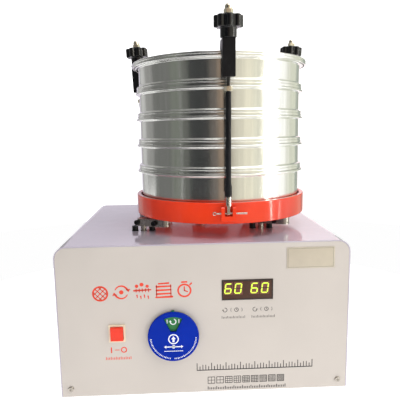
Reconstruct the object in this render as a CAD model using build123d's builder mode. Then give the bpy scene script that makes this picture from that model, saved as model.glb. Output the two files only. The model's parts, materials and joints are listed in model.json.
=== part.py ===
from build123d import *
import math
import os

# Sieve shaker: a motor-driven machine whose round tray swings on a circle, with a
# clamped stack of 300 mm sieves on it. Millimetres, +Z up, front faces -Y.
# Origin: middle of the bounding box, on the plane the rubber feet stand on.

# ---------------------------------------------------------------- driving dimensions
# casing
CW, CD, CH = 480.0, 420.0, 256.0      # width, depth, height without feet
FOOT_H, FOOT_R = 10.0, 15.0
CY = 12.0                             # casing centre, forward clamp knob balances the box
TS = 2.0                              # sheet thickness
BEND_R = 20.0                         # outer radius of the top bends
ZT = FOOT_H + CH                      # casing top
YF, YB = CY - CD / 2, CY + CD / 2     # front and rear faces
FIT = 0.15                            # gap round the inset panels

# orbit and cranks
DX, DY = 4.0, 0.0                     # main shaft
ORB_X, ORB_Y = 38.0, -15.0            # tray centre from the main shaft: 40.9 mm throw
IDX, IDY = 108.0, 86.0                # idler crank shafts from the main shaft
ARM_Z0, ARM_Z1 = ZT + 10.0, ZT + 23.0
ARM_R = 11.0
PIN_R = 5.0
RUN = 0.05                            # radial running clearance
SCREW_OFF = 15.5                      # flange screws beside each idler pin

# tray and stack
TX, TY = DX + ORB_X, DY + ORB_Y       # tray centre
TR = 161.4                            # tray outer radius
T_WALL = 8.0
T_Z0, T_Z1 = ZT + 26.2, ZT + 61.6
PAN_Z = ZT + 42.0                     # underside of the collecting pan
SR_O, SR_I = 151.0, 149.8             # sieve wall
BEAD_R, SHO_R = 158.0, 155.6          # rolled bead and shoulder
CRE0, PITCH = ZT + 108.0, 47.4        # first joint in the stack and the sieve pitch
LID_R = 162.7

# clamps
R_PIN = 168.0                         # hinge pin radius from the tray centre
S_PIN = ZT + 45.0                     # hinge pin height
LEAN = 3.5                            # degrees outward
ANGLES = [-90.0, 30.0, 150.0]
ROD_R = 3.0
BLK0, BLK1 = 215.3, 271.6             # block along the rod
TOE0 = 257.9                          # underside of the toe
KNOB0, KNOB1 = 286.5, 304.3
ROD_END = 318.0
KNOB_R = 22.6

# drive
SH_R = 10.0
PUL_R, MPUL_R = 60.0, 20.0            # 3:1 toothed belt
MOT_Y = 112.0
BELT_Z0, BELT_Z1 = 141.0, 155.0

os.makedirs("parts", exist_ok=True)


def save(part, name):
    part.label = name
    export_step(part, "parts/" + name + ".step")


def lathe(points, cx, cy):
    # solid of revolution about the vertical axis through (cx, cy); points are (r, z)
    with BuildPart() as p:
        with BuildSketch(Plane(origin=(cx, cy, 0), x_dir=(1, 0, 0), z_dir=(0, -1, 0))):
            with BuildLine():
                Polyline(*points, close=True)
            make_face()
        revolve(axis=Axis((cx, cy, 0), (0, 0, 1)))
    return p


# ================================================================= casing
# folded cover: top and both sides in one sheet
with BuildPart() as housing_shell:
    with BuildSketch(Plane(origin=(0, YF, FOOT_H), x_dir=(1, 0, 0), z_dir=(0, -1, 0))):
        with Locations((0, CH / 2)):
            outer = Rectangle(CW, CH)
        fillet(outer.vertices().group_by(Axis.Y)[-1], BEND_R)
    extrude(amount=-CD)
    with BuildSketch(Plane(origin=(0, YF - 1, FOOT_H), x_dir=(1, 0, 0), z_dir=(0, -1, 0))):
        with Locations((0, CH / 2 - TS / 2 - 1)):
            inner = Rectangle(CW - 2 * TS, CH - TS + 2)
        fillet(inner.vertices().group_by(Axis.Y)[-1], BEND_R - TS)
    extrude(amount=-(CD + 2), mode=Mode.SUBTRACT)
    # holes for the main shaft, the idler pins and their flange screws
    with Locations((DX, DY, ZT)):
        Hole(radius=13.0, depth=2 * TS)
    for sx in (-1, 1):
        for sy in (-1, 1):
            with Locations((DX + sx * IDX, DY + sy * IDY, ZT)):
                Hole(radius=PIN_R + 1.0, depth=2 * TS)
            with Locations((DX + sx * IDX - SCREW_OFF, DY + sy * IDY, ZT), (DX + sx * IDX + SCREW_OFF, DY + sy * IDY, ZT)):
                Hole(radius=3.2, depth=2 * TS)
save(housing_shell.part, "housing_shell")

PW, PH = CW - 2 * TS - 2 * FIT, CH - TS - FIT
DISP = (70.6, 187.0, 84.4, 34.6)      # display window: x, z, width, height
SWI = (-144.0, 119.3, 27.0, 29.4)     # switch bezel
DISC = (-52.0, 112.4, 42.0)           # status disc: x, z, radius
PLATE = (174.4, 238.0, 78.6, 35.0)    # blank name plate
PSX, PSZ = 224.0, 23.7                # panel screws


def panel_blank(y_out, direction):
    # panel with rounded top corners; its outer face lies at y_out, direction +1 grows to +Y
    with BuildPart() as p:
        with BuildSketch(Plane(origin=(0, y_out, FOOT_H), x_dir=(1, 0, 0), z_dir=(0, -1, 0))):
            with Locations((0, PH / 2)):
                r = Rectangle(PW, PH)
            fillet(r.vertices().group_by(Axis.Y)[-1], BEND_R - TS - FIT)
        extrude(amount=-TS * direction)
    return p


with BuildPart() as front_panel:
    add(panel_blank(YF, 1).part)
    with BuildSketch(Plane(origin=(0, YF - 1, 0), x_dir=(1, 0, 0), z_dir=(0, -1, 0))):
        with Locations((DISP[0], DISP[1])):
            Rectangle(DISP[2] - 3.0, DISP[3] - 3.0)
        with Locations((SWI[0], SWI[1])):
            Rectangle(SWI[2] - 3.0, SWI[3] - 3.0)
        with Locations((DISC[0], DISC[1])):
            Circle(2.6)
        with Locations((-PSX, PSZ), (PSX, PSZ)):
            Circle(2.2)
    extrude(amount=-(TS + 2), mode=Mode.SUBTRACT)
save(front_panel.part, "front_panel")

INL = (170.0, 70.0)                   # power inlet centre
with BuildPart() as rear_panel:
    add(panel_blank(YB, -1).part)
    with BuildSketch(Plane(origin=(0, YB + 1, 0), x_dir=(1, 0, 0), z_dir=(0, -1, 0))):
        with Locations((INL[0], INL[1])):
            Rectangle(30.0, 44.0)
        with Locations((-PSX, PSZ), (PSX, PSZ)):
            Circle(2.2)
        # ventilation slots
        with Locations((0, 190.0)):
            with GridLocations(0, 11.0, 1, 6):
                SlotOverall(120.0, 4.5)
    extrude(amount=(TS + 2), mode=Mode.SUBTRACT)
save(rear_panel.part, "rear_panel")

# base plate with turned-up front and rear flanges that take the panel screws,
# and the motor bridge welded on it
MX, MY = DX, DY + MOT_Y
BX, BY0, BY1 = CW / 2 - TS - 0.15, YF + TS, YB - TS
with BuildPart() as base_plate:
    with Locations((0, CY, FOOT_H + 1.0)):
        Box(2 * BX, BY1 - BY0, 2.0)
    for y0 in (BY0 + 1.0, BY1 - 1.0):
        with Locations((0, y0, FOOT_H + 14.0)):
            Box(2 * BX - 4.0, 2.0, 28.0)
    with BuildSketch(Plane(origin=(0, BY0 - 1, 0), x_dir=(1, 0, 0), z_dir=(0, -1, 0))):
        with Locations((-PSX, PSZ), (PSX, PSZ)):
            Circle(1.85)
    extrude(amount=-(BY1 - BY0 + 2), mode=Mode.SUBTRACT)
    FX, FY = 195.0, 160.0
    with Locations(*[(sx * FX, CY + sy * FY, FOOT_H + 2.0) for sx in (-1, 1) for sy in (-1, 1)]):
        Hole(radius=2.6, depth=4.0)
    with Locations((MX, MY - 4.0, 128.0)):
        Box(120.0, 112.0, 5.0)
    for sx in (-1, 1):
        with Locations((MX + sx * 57.5, MY - 4.0, (FOOT_H + 2.0 + 125.5) / 2)):
            Box(5.0, 112.0, 125.5 - FOOT_H - 2.0)
        with Locations((MX + sx * 67.0, MY - 4.0, FOOT_H + 4.5)):
            Box(24.0, 112.0, 5.0)
    with Locations((MX, MY, 130.5)):
        Hole(radius=18.0, depth=10.0)
save(base_plate.part, "base_plate")

with BuildPart() as rubber_feet:
    for sx in (-1, 1):
        for sy in (-1, 1):
            with Locations((sx * FX, CY + sy * FY, FOOT_H / 2)):
                Cone(FOOT_R - 2.5, FOOT_R, FOOT_H)
            with Locations((sx * FX, CY + sy * FY, 1.5)):
                Cylinder(5.6, 5.0, mode=Mode.SUBTRACT)
            with Locations((sx * FX, CY + sy * FY, FOOT_H / 2)):
                Cylinder(2.6, FOOT_H + 2, mode=Mode.SUBTRACT)
save(rubber_feet.part, "rubber_feet")

with BuildPart() as panel_screws:
    for y_face, s in ((YF, -1), (YB, 1)):
        for sx in (-1, 1):
            with BuildSketch(Plane(origin=(sx * PSX, y_face, PSZ), x_dir=(1, 0, 0), z_dir=(0, s, 0))) as hs:
                Circle(4.6)
            extrude(amount=2.6)
            with BuildSketch(Plane(origin=(sx * PSX, y_face + s * 2.6, PSZ), x_dir=(1, 0, 0), z_dir=(0, s, 0))):
                Rectangle(4.6, 1.0)
                Rectangle(1.0, 4.6)
            extrude(amount=-1.3, mode=Mode.SUBTRACT)
            with BuildSketch(Plane(origin=(sx * PSX, y_face, PSZ), x_dir=(1, 0, 0), z_dir=(0, s, 0))):
                Circle(1.8)
            extrude(amount=-9.0)
    tops = [e for e in panel_screws.edges().filter_by(GeomType.CIRCLE) if abs(e.radius - 4.6) < 0.01 and (
        e.center().Y < YF - 2.0 or e.center().Y > YB + 2.0)]
    fillet(tops, 1.1)
    # screws that hold the rubber feet
    for sx in (-1, 1):
        for sy in (-1, 1):
            with Locations((sx * FX, CY + sy * FY, 2.6)):
                Cylinder(4.6, 2.6)
            with Locations((sx * FX, CY + sy * FY, 2.6 + 7.0)):
                Cylinder(2.4, 14.0)
save(panel_screws.part, "case_screws")

# ================================================================= drive frame and bearings
FR_Z1 = ZT - TS
FR_Z0 = FR_Z1 - 8.0
with BuildPart() as drive_frame:
    with Locations((0, CY, (FR_Z0 + FR_Z1) / 2)):
        Box(310.0, 290.0, 8.0)
    with Locations(*[(sx * 143.0, CY + sy * 133.0, (FOOT_H + 2 + FR_Z0) / 2) for sx in (-1, 1) for sy in (-1, 1)]):
        Box(22.0, 22.0, FR_Z0 - FOOT_H - 2)
    with Locations((DX, DY, FR_Z1)):
        Hole(radius=30.1, depth=20.0)
    for sx in (-1, 1):
        for sy in (-1, 1):
            with Locations((DX + sx * IDX, DY + sy * IDY, FR_Z1)):
                Hole(radius=11.1, depth=20.0)
            with Locations((DX + sx * IDX - SCREW_OFF, DY + sy * IDY, FR_Z1), (DX + sx * IDX + SCREW_OFF, DY + sy * IDY, FR_Z1)):
                Hole(radius=3.2, depth=20.0)
save(drive_frame.part, "drive_frame")

# five flanged bearing housings: the main one and one for each idler crank
with BuildPart() as bearing_housings:
    for sx in (-1, 1):
        for sy in (-1, 1):
            cx, cy = DX + sx * IDX, DY + sy * IDY
            with BuildSketch(Plane(origin=(cx, cy, FR_Z0 - 8.0))):
                SlotOverall(50.0, 26.0)
            extrude(amount=8.0)
            with Locations((cx, cy, (214.0 + FR_Z1) / 2)):
                Cylinder(11.0, FR_Z1 - 214.0)
            with Locations((cx, cy, 240.0)):
                Cylinder(7.0, 100.0, mode=Mode.SUBTRACT)
            with Locations((cx - SCREW_OFF, cy, 240.0), (cx + SCREW_OFF, cy, 240.0)):
                Cylinder(2.6, 60.0, mode=Mode.SUBTRACT)
    with Locations((DX, DY, FR_Z0 - 4.0)):
        Cylinder(48.0, 8.0)
    with Locations((DX, DY, (186.0 + FR_Z1) / 2)):
        Cylinder(30.0, FR_Z1 - 186.0)
    with Locations((DX, DY, 220.0)):
        Cylinder(15.0, 120.0, mode=Mode.SUBTRACT)
    with Locations((DX, DY, 193.0)):
        Cylinder(23.5, 14.0, mode=Mode.SUBTRACT)
    with Locations((DX, DY, FR_Z1 - 7.0)):
        Cylinder(23.5, 14.0, mode=Mode.SUBTRACT)
save(bearing_housings.part, "bearing_housings")

with BuildPart() as shaft_bearings:
    for sx in (-1, 1):
        for sy in (-1, 1):
            with Locations((DX + sx * IDX, DY + sy * IDY, (215.0 + FR_Z1) / 2)):
                Cylinder(7.0, FR_Z1 - 215.0)
                Cylinder(PIN_R + RUN, 100.0, mode=Mode.SUBTRACT)
    for zc in (193.0, FR_Z1 - 7.0):
        with Locations((DX, DY, zc)):
            Cylinder(23.5, 14.0)
            Cylinder(SH_R + RUN, 20.0, mode=Mode.SUBTRACT)
save(shaft_bearings.part, "shaft_bearings")

# socket-head flange screws that stand on the casing top
with BuildPart() as flange_screws:
    for sx in (-1, 1):
        for sy in (-1, 1):
            for so in (-SCREW_OFF, SCREW_OFF):
                x, y = DX + sx * IDX + so, DY + sy * IDY
                with Locations((x, y, ZT + 0.6)):
                    Cylinder(6.2, 1.2)
                with Locations((x, y, ZT + 1.2 + 3.9)):
                    Cylinder(5.5, 7.8)
                with Locations((x, y, ZT - 10.0)):
                    Cylinder(2.55, 20.0)
                with BuildSketch(Plane(origin=(x, y, ZT + 9.0))):
                    RegularPolygon(3.2, 6)
                extrude(amount=-3.6, mode=Mode.SUBTRACT)
save(flange_screws.part, "flange_screws")

# ================================================================= motor and belt
with BuildPart() as gear_motor:
    with BuildSketch(Plane(origin=(MX, MY, 90.5))):
        RectangleRounded(88.0, 88.0, 6.0)
    extrude(amount=35.0)
    with BuildSketch(Plane(origin=(MX, MY, 18.0))):
        Circle(42.0)
    extrude(amount=72.5)
    with BuildSketch(Plane(origin=(MX, MY, 125.5))):
        Circle(17.0)
    extrude(amount=4.0)
    # cooling ribs round the motor can
    for k in range(5):
        with BuildSketch(Plane(origin=(MX, MY, 26.0 + 12.0 * k))):
            Circle(43.5)
            Circle(41.0, mode=Mode.SUBTRACT)
        extrude(amount=4.0)
    with Locations((MX, MY, 125.0)):
        Cylinder(6.0 + RUN, 40.0, mode=Mode.SUBTRACT)
save(gear_motor.part, "gear_motor")

with BuildPart() as motor_pulley:
    with BuildSketch(Plane(origin=(MX, MY, BELT_Z0 - 1.0))):
        Circle(MPUL_R)
    extrude(amount=BELT_Z1 - BELT_Z0 + 2.0)
    for z0 in (BELT_Z0 - 2.5, BELT_Z1 + 1.0):
        with BuildSketch(Plane(origin=(MX, MY, z0))):
            Circle(MPUL_R + 3.5)
        extrude(amount=1.5)
    with Locations((MX, MY, 148.0)):
        Cylinder(6.02, 40.0, mode=Mode.SUBTRACT)
with BuildPart() as motor_shaft:
    with Locations((MX, MY, 135.0)):
        Cylinder(6.0, 52.0)
with BuildPart() as pulley_set:
    add(motor_pulley.part)
    add(motor_shaft.part)
save(pulley_set.part, "motor_pulley")

# flat-sided toothed belt, drawn as its closed band round both pulleys
GAP, BT = 0.3, 2.6


def belt_outline(r1, r2, d):
    # tangent-arc outline round circle r1 at the shaft and r2 at distance d along +Y
    a = math.acos((r1 - r2) / d)
    p1 = (r1 * math.sin(a), r1 * math.cos(a))
    p2 = (r2 * math.sin(a), d + r2 * math.cos(a))
    return p1, p2


with BuildPart() as drive_belt:
    for add_r, md in ((GAP + BT, Mode.ADD), (GAP, Mode.SUBTRACT)):
        p1, p2 = belt_outline(PUL_R + add_r, MPUL_R + add_r, MOT_Y)
        with BuildSketch(Plane(origin=(DX, DY, BELT_Z0))):
            with BuildLine():
                Line((p1[0], p1[1]), (p2[0], p2[1]))
                ThreePointArc((p2[0], p2[1]), (0, MOT_Y + MPUL_R + add_r), (-p2[0], p2[1]))
                Line((-p2[0], p2[1]), (-p1[0], p1[1]))
                ThreePointArc((-p1[0], p1[1]), (0, -(PUL_R + add_r)), (p1[0], p1[1]))
            make_face()
        extrude(amount=BELT_Z1 - BELT_Z0, mode=md)
save(drive_belt.part, "drive_belt")

with BuildPart() as driven_pulley:
    with BuildSketch(Plane(origin=(DX, DY, BELT_Z0 - 1.0))):
        Circle(PUL_R)
    extrude(amount=BELT_Z1 - BELT_Z0 + 2.0)
    with BuildSketch(Plane(origin=(DX, DY, BELT_Z1 + 1.0))):
        Circle(18.0)
    extrude(amount=12.0)
    # lightening holes in the web
    with BuildSketch(Plane(origin=(DX, DY, BELT_Z0 - 2.0))):
        with PolarLocations(38.0, 6):
            Circle(11.0)
        Circle(SH_R)
    extrude(amount=60.0, mode=Mode.SUBTRACT)
save(driven_pulley.part, "driven_pulley")

with BuildPart() as drive_shaft:
    with BuildSketch(Plane(origin=(DX, DY, 136.0))):
        Circle(SH_R)
    extrude(amount=ARM_Z1 - 136.0)
    # collar between the two bearings
    with BuildSketch(Plane(origin=(DX, DY, 206.0))):
        Circle(13.5)
    extrude(amount=4.0)
save(drive_shaft.part, "drive_shaft")

# drive crank with its integral crank pin
ANG = math.degrees(math.atan2(ORB_Y, ORB_X))
THROW = math.hypot(ORB_X, ORB_Y)
with BuildPart() as drive_crank:
    with BuildSketch(Plane(origin=(DX, DY, ARM_Z0), x_dir=(ORB_X, ORB_Y, 0), z_dir=(0, 0, 1))):
        with Locations((THROW / 2, 0)):
            SlotCenterToCenter(THROW, 34.0)
        Circle(SH_R, mode=Mode.SUBTRACT)
    extrude(amount=ARM_Z1 - ARM_Z0)
    with BuildSketch(Plane(origin=(TX, TY, ARM_Z1))):
        Circle(8.0)
    extrude(amount=ZT + 37.0 - ARM_Z1)
save(drive_crank.part, "drive_crank")

# ================================================================= idler cranks
IDL = [(-1, -1), (1, -1), (1, 1), (-1, 1)]
for n, (sx, sy) in enumerate(IDL, 1):
    cx, cy = DX + sx * IDX, DY + sy * IDY
    arm_plane = Plane(origin=(cx, cy, ARM_Z0), x_dir=(ORB_X, ORB_Y, 0), z_dir=(0, 0, 1))
    with BuildPart() as idler_arm:
        with BuildSketch(arm_plane):
            with Locations((THROW / 2, 0)):
                SlotCenterToCenter(THROW, 2 * ARM_R)
            with Locations((0, 0), (THROW, 0)):
                Circle(PIN_R, mode=Mode.SUBTRACT)
            # clamping slits
            with Locations((-PIN_R - 4.0, 0)):
                Rectangle(9.0, 1.6, mode=Mode.SUBTRACT)
            with Locations((THROW - PIN_R - 6.0, 0)):
                Rectangle(13.0, 1.6, mode=Mode.SUBTRACT)
        extrude(amount=ARM_Z1 - ARM_Z0)
        side = Plane(origin=arm_plane.from_local_coords((0, -ARM_R - 1, (ARM_Z1 - ARM_Z0) / 2)),
                     x_dir=arm_plane.x_dir, z_dir=-arm_plane.y_dir)
        with BuildSketch(side):
            with Locations((-7.8, 0), (THROW - 14.0, 0)):
                Circle(2.1)
        extrude(amount=-(2 * ARM_R + 2), mode=Mode.SUBTRACT)
    # the clamp screws sit in spot faces in the arm's side
    side_up = Plane(origin=arm_plane.from_local_coords((0, -ARM_R + 1.0, (ARM_Z1 - ARM_Z0) / 2)),
                    x_dir=arm_plane.x_dir, z_dir=-arm_plane.y_dir)
    side_low = Plane(origin=arm_plane.from_local_coords((0, -ARM_R + 3.6, (ARM_Z1 - ARM_Z0) / 2)),
                     x_dir=arm_plane.x_dir, z_dir=-arm_plane.y_dir)
    seats = ((side_up, THROW - 14.0, 16.0), (side_low, -7.8, 9.0))
    with BuildPart() as idler_arm_faced:
        add(idler_arm.part)
        for seat, along, _ in seats:
            with BuildSketch(seat):
                with Locations((along, 0)):
                    Circle(4.8)
            extrude(amount=10.0, mode=Mode.SUBTRACT)
    save(idler_arm_faced.part, "idler_arm_%d" % n)
    # two pins and two socket-head clamp screws
    with BuildPart() as idler_pins:
        with BuildSketch(Plane(origin=(cx, cy, 217.0))):
            Circle(PIN_R)
        extrude(amount=ARM_Z1 - 217.0)
        with BuildSketch(arm_plane):
            with Locations((THROW, 0)):
                Circle(PIN_R)
        extrude(amount=ZT + 37.0 - ARM_Z0)
        for seat, along, length in seats:
            with BuildSketch(seat):
                with Locations((along, 0)):
                    Circle(4.6)
            extrude(amount=6.6)
            with BuildSketch(seat):
                with Locations((along, 0)):
                    Circle(1.95)
            extrude(amount=-length)
            with BuildSketch(seat.offset(6.6)):
                with Locations((along, 0)):
                    RegularPolygon(2.4, 6)
            extrude(amount=-2.6, mode=Mode.SUBTRACT)
    save(idler_pins.part, "idler_pins_%d" % n)

# ================================================================= electrics inside
# the main board on its stand-offs, and the display board behind the front panel
with BuildPart() as circuit_boards:
    with Locations((-160.0, CY + 10.0, 32.0)):
        Box(90.0, 130.0, 1.6)
    with Locations(*[(-160.0 + sx * 40.0, CY + 10.0 + sy * 60.0, (FOOT_H + 2 + 31.2) / 2) for sx in (-1, 1) for sy in (-1, 1)]):
        Cylinder(3.0, 31.2 - FOOT_H - 2)
    with Locations((-175.0, CY - 30.0, 38.8)):
        Box(28.0, 28.0, 12.0)
    with Locations((-145.0, CY + 0.0, 35.3)):
        Box(16.0, 36.0, 5.0)
    with Locations((-175.0, CY + 45.0, 41.8)):
        Cylinder(9.0, 18.0)
    with Locations((-140.0, CY + 55.0, 37.8)):
        Box(30.0, 14.0, 10.0)
    with Locations((DISP[0], YF + 15.8, DISP[1])):
        Box(104.0, 1.6, 50.0)
    with Locations((DISP[0] - 19.5, YF + 11.0, DISP[1]), (DISP[0] + 19.5, YF + 11.0, DISP[1])):
        Box(36.0, 8.0, 26.0)
    with Locations(*[(DISP[0] + sx * 47.0, YF + 8.5, DISP[1] + sz * 21.0) for sx in (-1, 1) for sz in (-1, 1)]):
        Box(6.0, 13.0, 5.0)
save(circuit_boards.part, "circuit_boards")

with BuildPart() as transformer:
    with Locations((150.0, CY + 20.0, FOOT_H + 2.0 + 22.0)):
        Box(60.0, 50.0, 44.0)
        Box(40.0, 68.0, 30.0)
    with Locations((150.0, CY + 20.0, FOOT_H + 3.5)):
        Box(84.0, 24.0, 3.0)
save(transformer.part, "transformer")

with BuildPart() as motor_capacitor:
    with Locations((185.0, CY - 70.0, FOOT_H + 2.0 + 35.0)):
        Cylinder(17.0, 70.0)
    fillet(motor_capacitor.edges().filter_by(GeomType.CIRCLE), 2.0)
save(motor_capacitor.part, "motor_capacitor")

# ================================================================= controls on the front
with BuildPart() as display_window:
    # smoked filter with a raised border that laps over the cut-out
    with BuildSketch(Plane(origin=(DISP[0], YF - 0.9, DISP[1]), x_dir=(1, 0, 0), z_dir=(0, -1, 0))):
        Rectangle(DISP[2], DISP[3])
    extrude(amount=-0.9)
    with BuildSketch(Plane(origin=(DISP[0], YF, DISP[1]), x_dir=(1, 0, 0), z_dir=(0, -1, 0))):
        Rectangle(DISP[2] - 3.2, DISP[3] - 3.2)
    extrude(amount=-4.0)
    with BuildSketch(Plane(origin=(DISP[0], YF + 4.0, DISP[1]), x_dir=(1, 0, 0), z_dir=(0, -1, 0))):
        Rectangle(DISP[2] - 5.0, DISP[3] - 5.0)
    extrude(amount=2.4, mode=Mode.SUBTRACT)
    with BuildSketch(Plane(origin=(DISP[0], YF - 0.9, DISP[1]), x_dir=(1, 0, 0), z_dir=(0, -1, 0))):
        Rectangle(DISP[2] - 4.6, DISP[3] - 4.6)
    extrude(amount=-0.5, mode=Mode.SUBTRACT)
save(display_window.part, "display_window")

BTN = (-143.2, 119.9, 20.6, 22.8)
with BuildPart() as switch_body:
    with BuildSketch(Plane(origin=(SWI[0], YF, SWI[1]), x_dir=(1, 0, 0), z_dir=(0, -1, 0))):
        RectangleRounded(SWI[2], SWI[3], 1.2)
    extrude(amount=3.0)
    with BuildSketch(Plane(origin=(SWI[0], YF, SWI[1]), x_dir=(1, 0, 0), z_dir=(0, -1, 0))):
        Rectangle(SWI[2] - 3.4, SWI[3] - 3.4)
    extrude(amount=-26.0)
    with BuildSketch(Plane(origin=(SWI[0], YF - 4.0, SWI[1]), x_dir=(1, 0, 0), z_dir=(0, -1, 0))):
        Rectangle(BTN[2] + 0.6, BTN[3] + 0.6)
    extrude(amount=-22.0, mode=Mode.SUBTRACT)
save(switch_body.part, "switch_body")

with BuildPart() as power_button:
    with BuildSketch(Plane(origin=(SWI[0], YF - 7.0, SWI[1]), x_dir=(1, 0, 0), z_dir=(0, -1, 0))):
        RectangleRounded(BTN[2], BTN[3], 1.0)
    extrude(amount=-20.0)
    fillet(power_button.faces().sort_by(Axis.Y)[0].edges(), 0.8)
save(power_button.part, "power_button")

# status disc: fixed base with its spindle, and the turning cover with a sector window
with BuildPart() as status_base:
    with BuildSketch(Plane(origin=(DISC[0], YF, DISC[1]), x_dir=(1, 0, 0), z_dir=(0, -1, 0))):
        Circle(DISC[2] - 0.6)
        with Locations((0, DISC[2] + 0.2)):
            Rectangle(4.6, 3.4)
    extrude(amount=3.0)
    with BuildSketch(Plane(origin=(DISC[0], YF - 3.0, DISC[1]), x_dir=(1, 0, 0), z_dir=(0, -1, 0))):
        Circle(2.5)
    extrude(amount=2.4)
    with BuildSketch(Plane(origin=(DISC[0], YF, DISC[1]), x_dir=(1, 0, 0), z_dir=(0, -1, 0))):
        Circle(2.5)
    extrude(amount=-6.0)
save(status_base.part, "status_disc_base")

SEC_A, SEC_R0, SEC_R1 = 27.0, 9.5, 34.5
with BuildPart() as status_cover:
    with BuildSketch(Plane(origin=(DISC[0], YF - 3.3, DISC[1]), x_dir=(1, 0, 0), z_dir=(0, -1, 0))):
        Circle(DISC[2])
    extrude(amount=4.7)
    fillet(status_cover.faces().sort_by(Axis.Y)[0].edges(), 1.2)
    a0 = math.radians(90 - SEC_A)
    a1 = math.radians(90 + SEC_A)
    with BuildSketch(Plane(origin=(DISC[0], YF - 9.0, DISC[1]), x_dir=(1, 0, 0), z_dir=(0, -1, 0))):
        with BuildLine():
            Line((SEC_R0 * math.cos(a0), SEC_R0 * math.sin(a0)), (SEC_R1 * math.cos(a0), SEC_R1 * math.sin(a0)))
            ThreePointArc((SEC_R1 * math.cos(a0), SEC_R1 * math.sin(a0)), (0, SEC_R1), (SEC_R1 * math.cos(a1), SEC_R1 * math.sin(a1)))
            Line((SEC_R1 * math.cos(a1), SEC_R1 * math.sin(a1)), (SEC_R0 * math.cos(a1), SEC_R0 * math.sin(a1)))
            Line((SEC_R0 * math.cos(a1), SEC_R0 * math.sin(a1)), (SEC_R0 * math.cos(a0), SEC_R0 * math.sin(a0)))
        make_face()
    extrude(amount=-7.0, mode=Mode.SUBTRACT)
    # blind bore for the spindle
    with BuildSketch(Plane(origin=(DISC[0], YF - 5.6, DISC[1]), x_dir=(1, 0, 0), z_dir=(0, -1, 0))):
        Circle(2.5 + RUN)
    extrude(amount=-4.0, mode=Mode.SUBTRACT)
save(status_cover.part, "status_disc_cover")

with BuildPart() as name_plate:
    with BuildSketch(Plane(origin=(PLATE[0], YF, PLATE[1]), x_dir=(1, 0, 0), z_dir=(0, -1, 0))):
        RectangleRounded(PLATE[2], PLATE[3], 1.0)
    extrude(amount=0.8)
save(name_plate.part, "name_plate")

# three-pin power inlet with a fuse drawer above it
with BuildPart() as power_inlet:
    IX, IZ = INL
    pl = Plane(origin=(IX, YB, IZ), x_dir=(-1, 0, 0), z_dir=(0, 1, 0))
    with BuildSketch(pl):
        RectangleRounded(36.0, 50.0, 3.0)
    extrude(amount=2.0)
    with BuildSketch(pl):
        Rectangle(29.4, 43.4)
    extrude(amount=-24.0)
    with BuildSketch(pl.offset(2.0)):
        with Locations((0, -8.0)):
            RectangleRounded(24.4, 16.8, 2.5)
    extrude(amount=-17.0, mode=Mode.SUBTRACT)
    # fuse drawer face with its finger notch
    with BuildSketch(pl.offset(2.0)):
        with Locations((0, 13.0)):
            Rectangle(24.0, 13.0)
            Rectangle(22.4, 11.4, mode=Mode.SUBTRACT)
    extrude(amount=-1.0, mode=Mode.SUBTRACT)
    # three flat contact pins
    with BuildSketch(pl.offset(-15.0)):
        with Locations((-7.0, -9.6), (7.0, -9.6), (0, -4.6)):
            Rectangle(2.0, 4.0)
    extrude(amount=14.0)
save(power_inlet.part, "power_inlet")

# ================================================================= tray
tray = lathe([(0, T_Z0), (TR - 0.8, T_Z0), (TR, T_Z0 + 0.8), (TR, T_Z1 - 1.0), (TR - 1.0, T_Z1), (TR - T_WALL + 0.8, T_Z1),
              (TR - T_WALL, T_Z1 - 0.8), (TR - T_WALL, PAN_Z), (TR - T_WALL - 9.0, PAN_Z), (TR - T_WALL - 9.0, T_Z0 + 4.0), (0, T_Z0 + 4.0)], TX, TY)
with BuildPart() as sieve_tray:
    add(tray.part)
    # bosses for the crank pin bearing and the four idler bearings
    with Locations((TX, TY, T_Z0 + 7.5)):
        Cylinder(22.0, 15.0)
    for sx in (-1, 1):
        for sy in (-1, 1):
            with Locations((TX + sx * IDX, TY + sy * IDY, T_Z0 + 7.5)):
                Cylinder(11.5, 15.0)
    with Locations((TX, TY, T_Z0 + 6.0)):
        Cylinder(13.0, 12.8, mode=Mode.SUBTRACT)
    for sx in (-1, 1):
        for sy in (-1, 1):
            with Locations((TX + sx * IDX, TY + sy * IDY, T_Z0 + 6.0)):
                Cylinder(8.0, 12.8, mode=Mode.SUBTRACT)
save(sieve_tray.part, "sieve_tray")

# clevis lugs for the three clamps, welded on the tray's wall
with BuildPart() as clamp_lugs:
    for a in ANGLES:
        er = (math.cos(math.radians(a)), math.sin(math.radians(a)), 0)
        et = (er[1], -er[0], 0)
        lp = Plane(origin=(TX + R_PIN * er[0], TY + R_PIN * er[1], S_PIN), x_dir=er, z_dir=et)
        # side view of the lug, thickness along the tangent
        LB, LT = (T_Z0 + 6.0) - S_PIN, 11.2
        with BuildSketch(lp.offset(-12.2)):
            with BuildLine():
                Polyline((-9.0, LB), (5.2, LB), (6.4, LB + 1.2), (6.4, LT - 1.8), (4.8, LT), (-9.0, LT), close=True)
            make_face()
        extrude(amount=24.4)
        with BuildSketch(lp.offset(-6.3)):
            with BuildLine():
                Polyline((-12.0, -3.9), (10.0, -3.9), (10.0, 20.0), (-12.0, 20.0), close=True)
            make_face()
        extrude(amount=12.6, mode=Mode.SUBTRACT)
        with BuildSketch(lp.offset(-30.0)):
            Circle(1.65)
        extrude(amount=60.0, mode=Mode.SUBTRACT)
    with Locations((TX, TY, S_PIN)):
        Cylinder(TR, 60.0, mode=Mode.SUBTRACT)
save(clamp_lugs.part, "clamp_lugs")

with BuildPart() as tray_bearings:
    with Locations((TX, TY, T_Z0 + 6.2)):
        Cylinder(13.0, 12.4)
        Cylinder(8.0 + RUN, 20.0, mode=Mode.SUBTRACT)
    for sx in (-1, 1):
        for sy in (-1, 1):
            with Locations((TX + sx * IDX, TY + sy * IDY, T_Z0 + 6.2)):
                Cylinder(8.0, 12.4)
                Cylinder(PIN_R + RUN, 20.0, mode=Mode.SUBTRACT)
save(tray_bearings.part, "tray_bearings")

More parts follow.
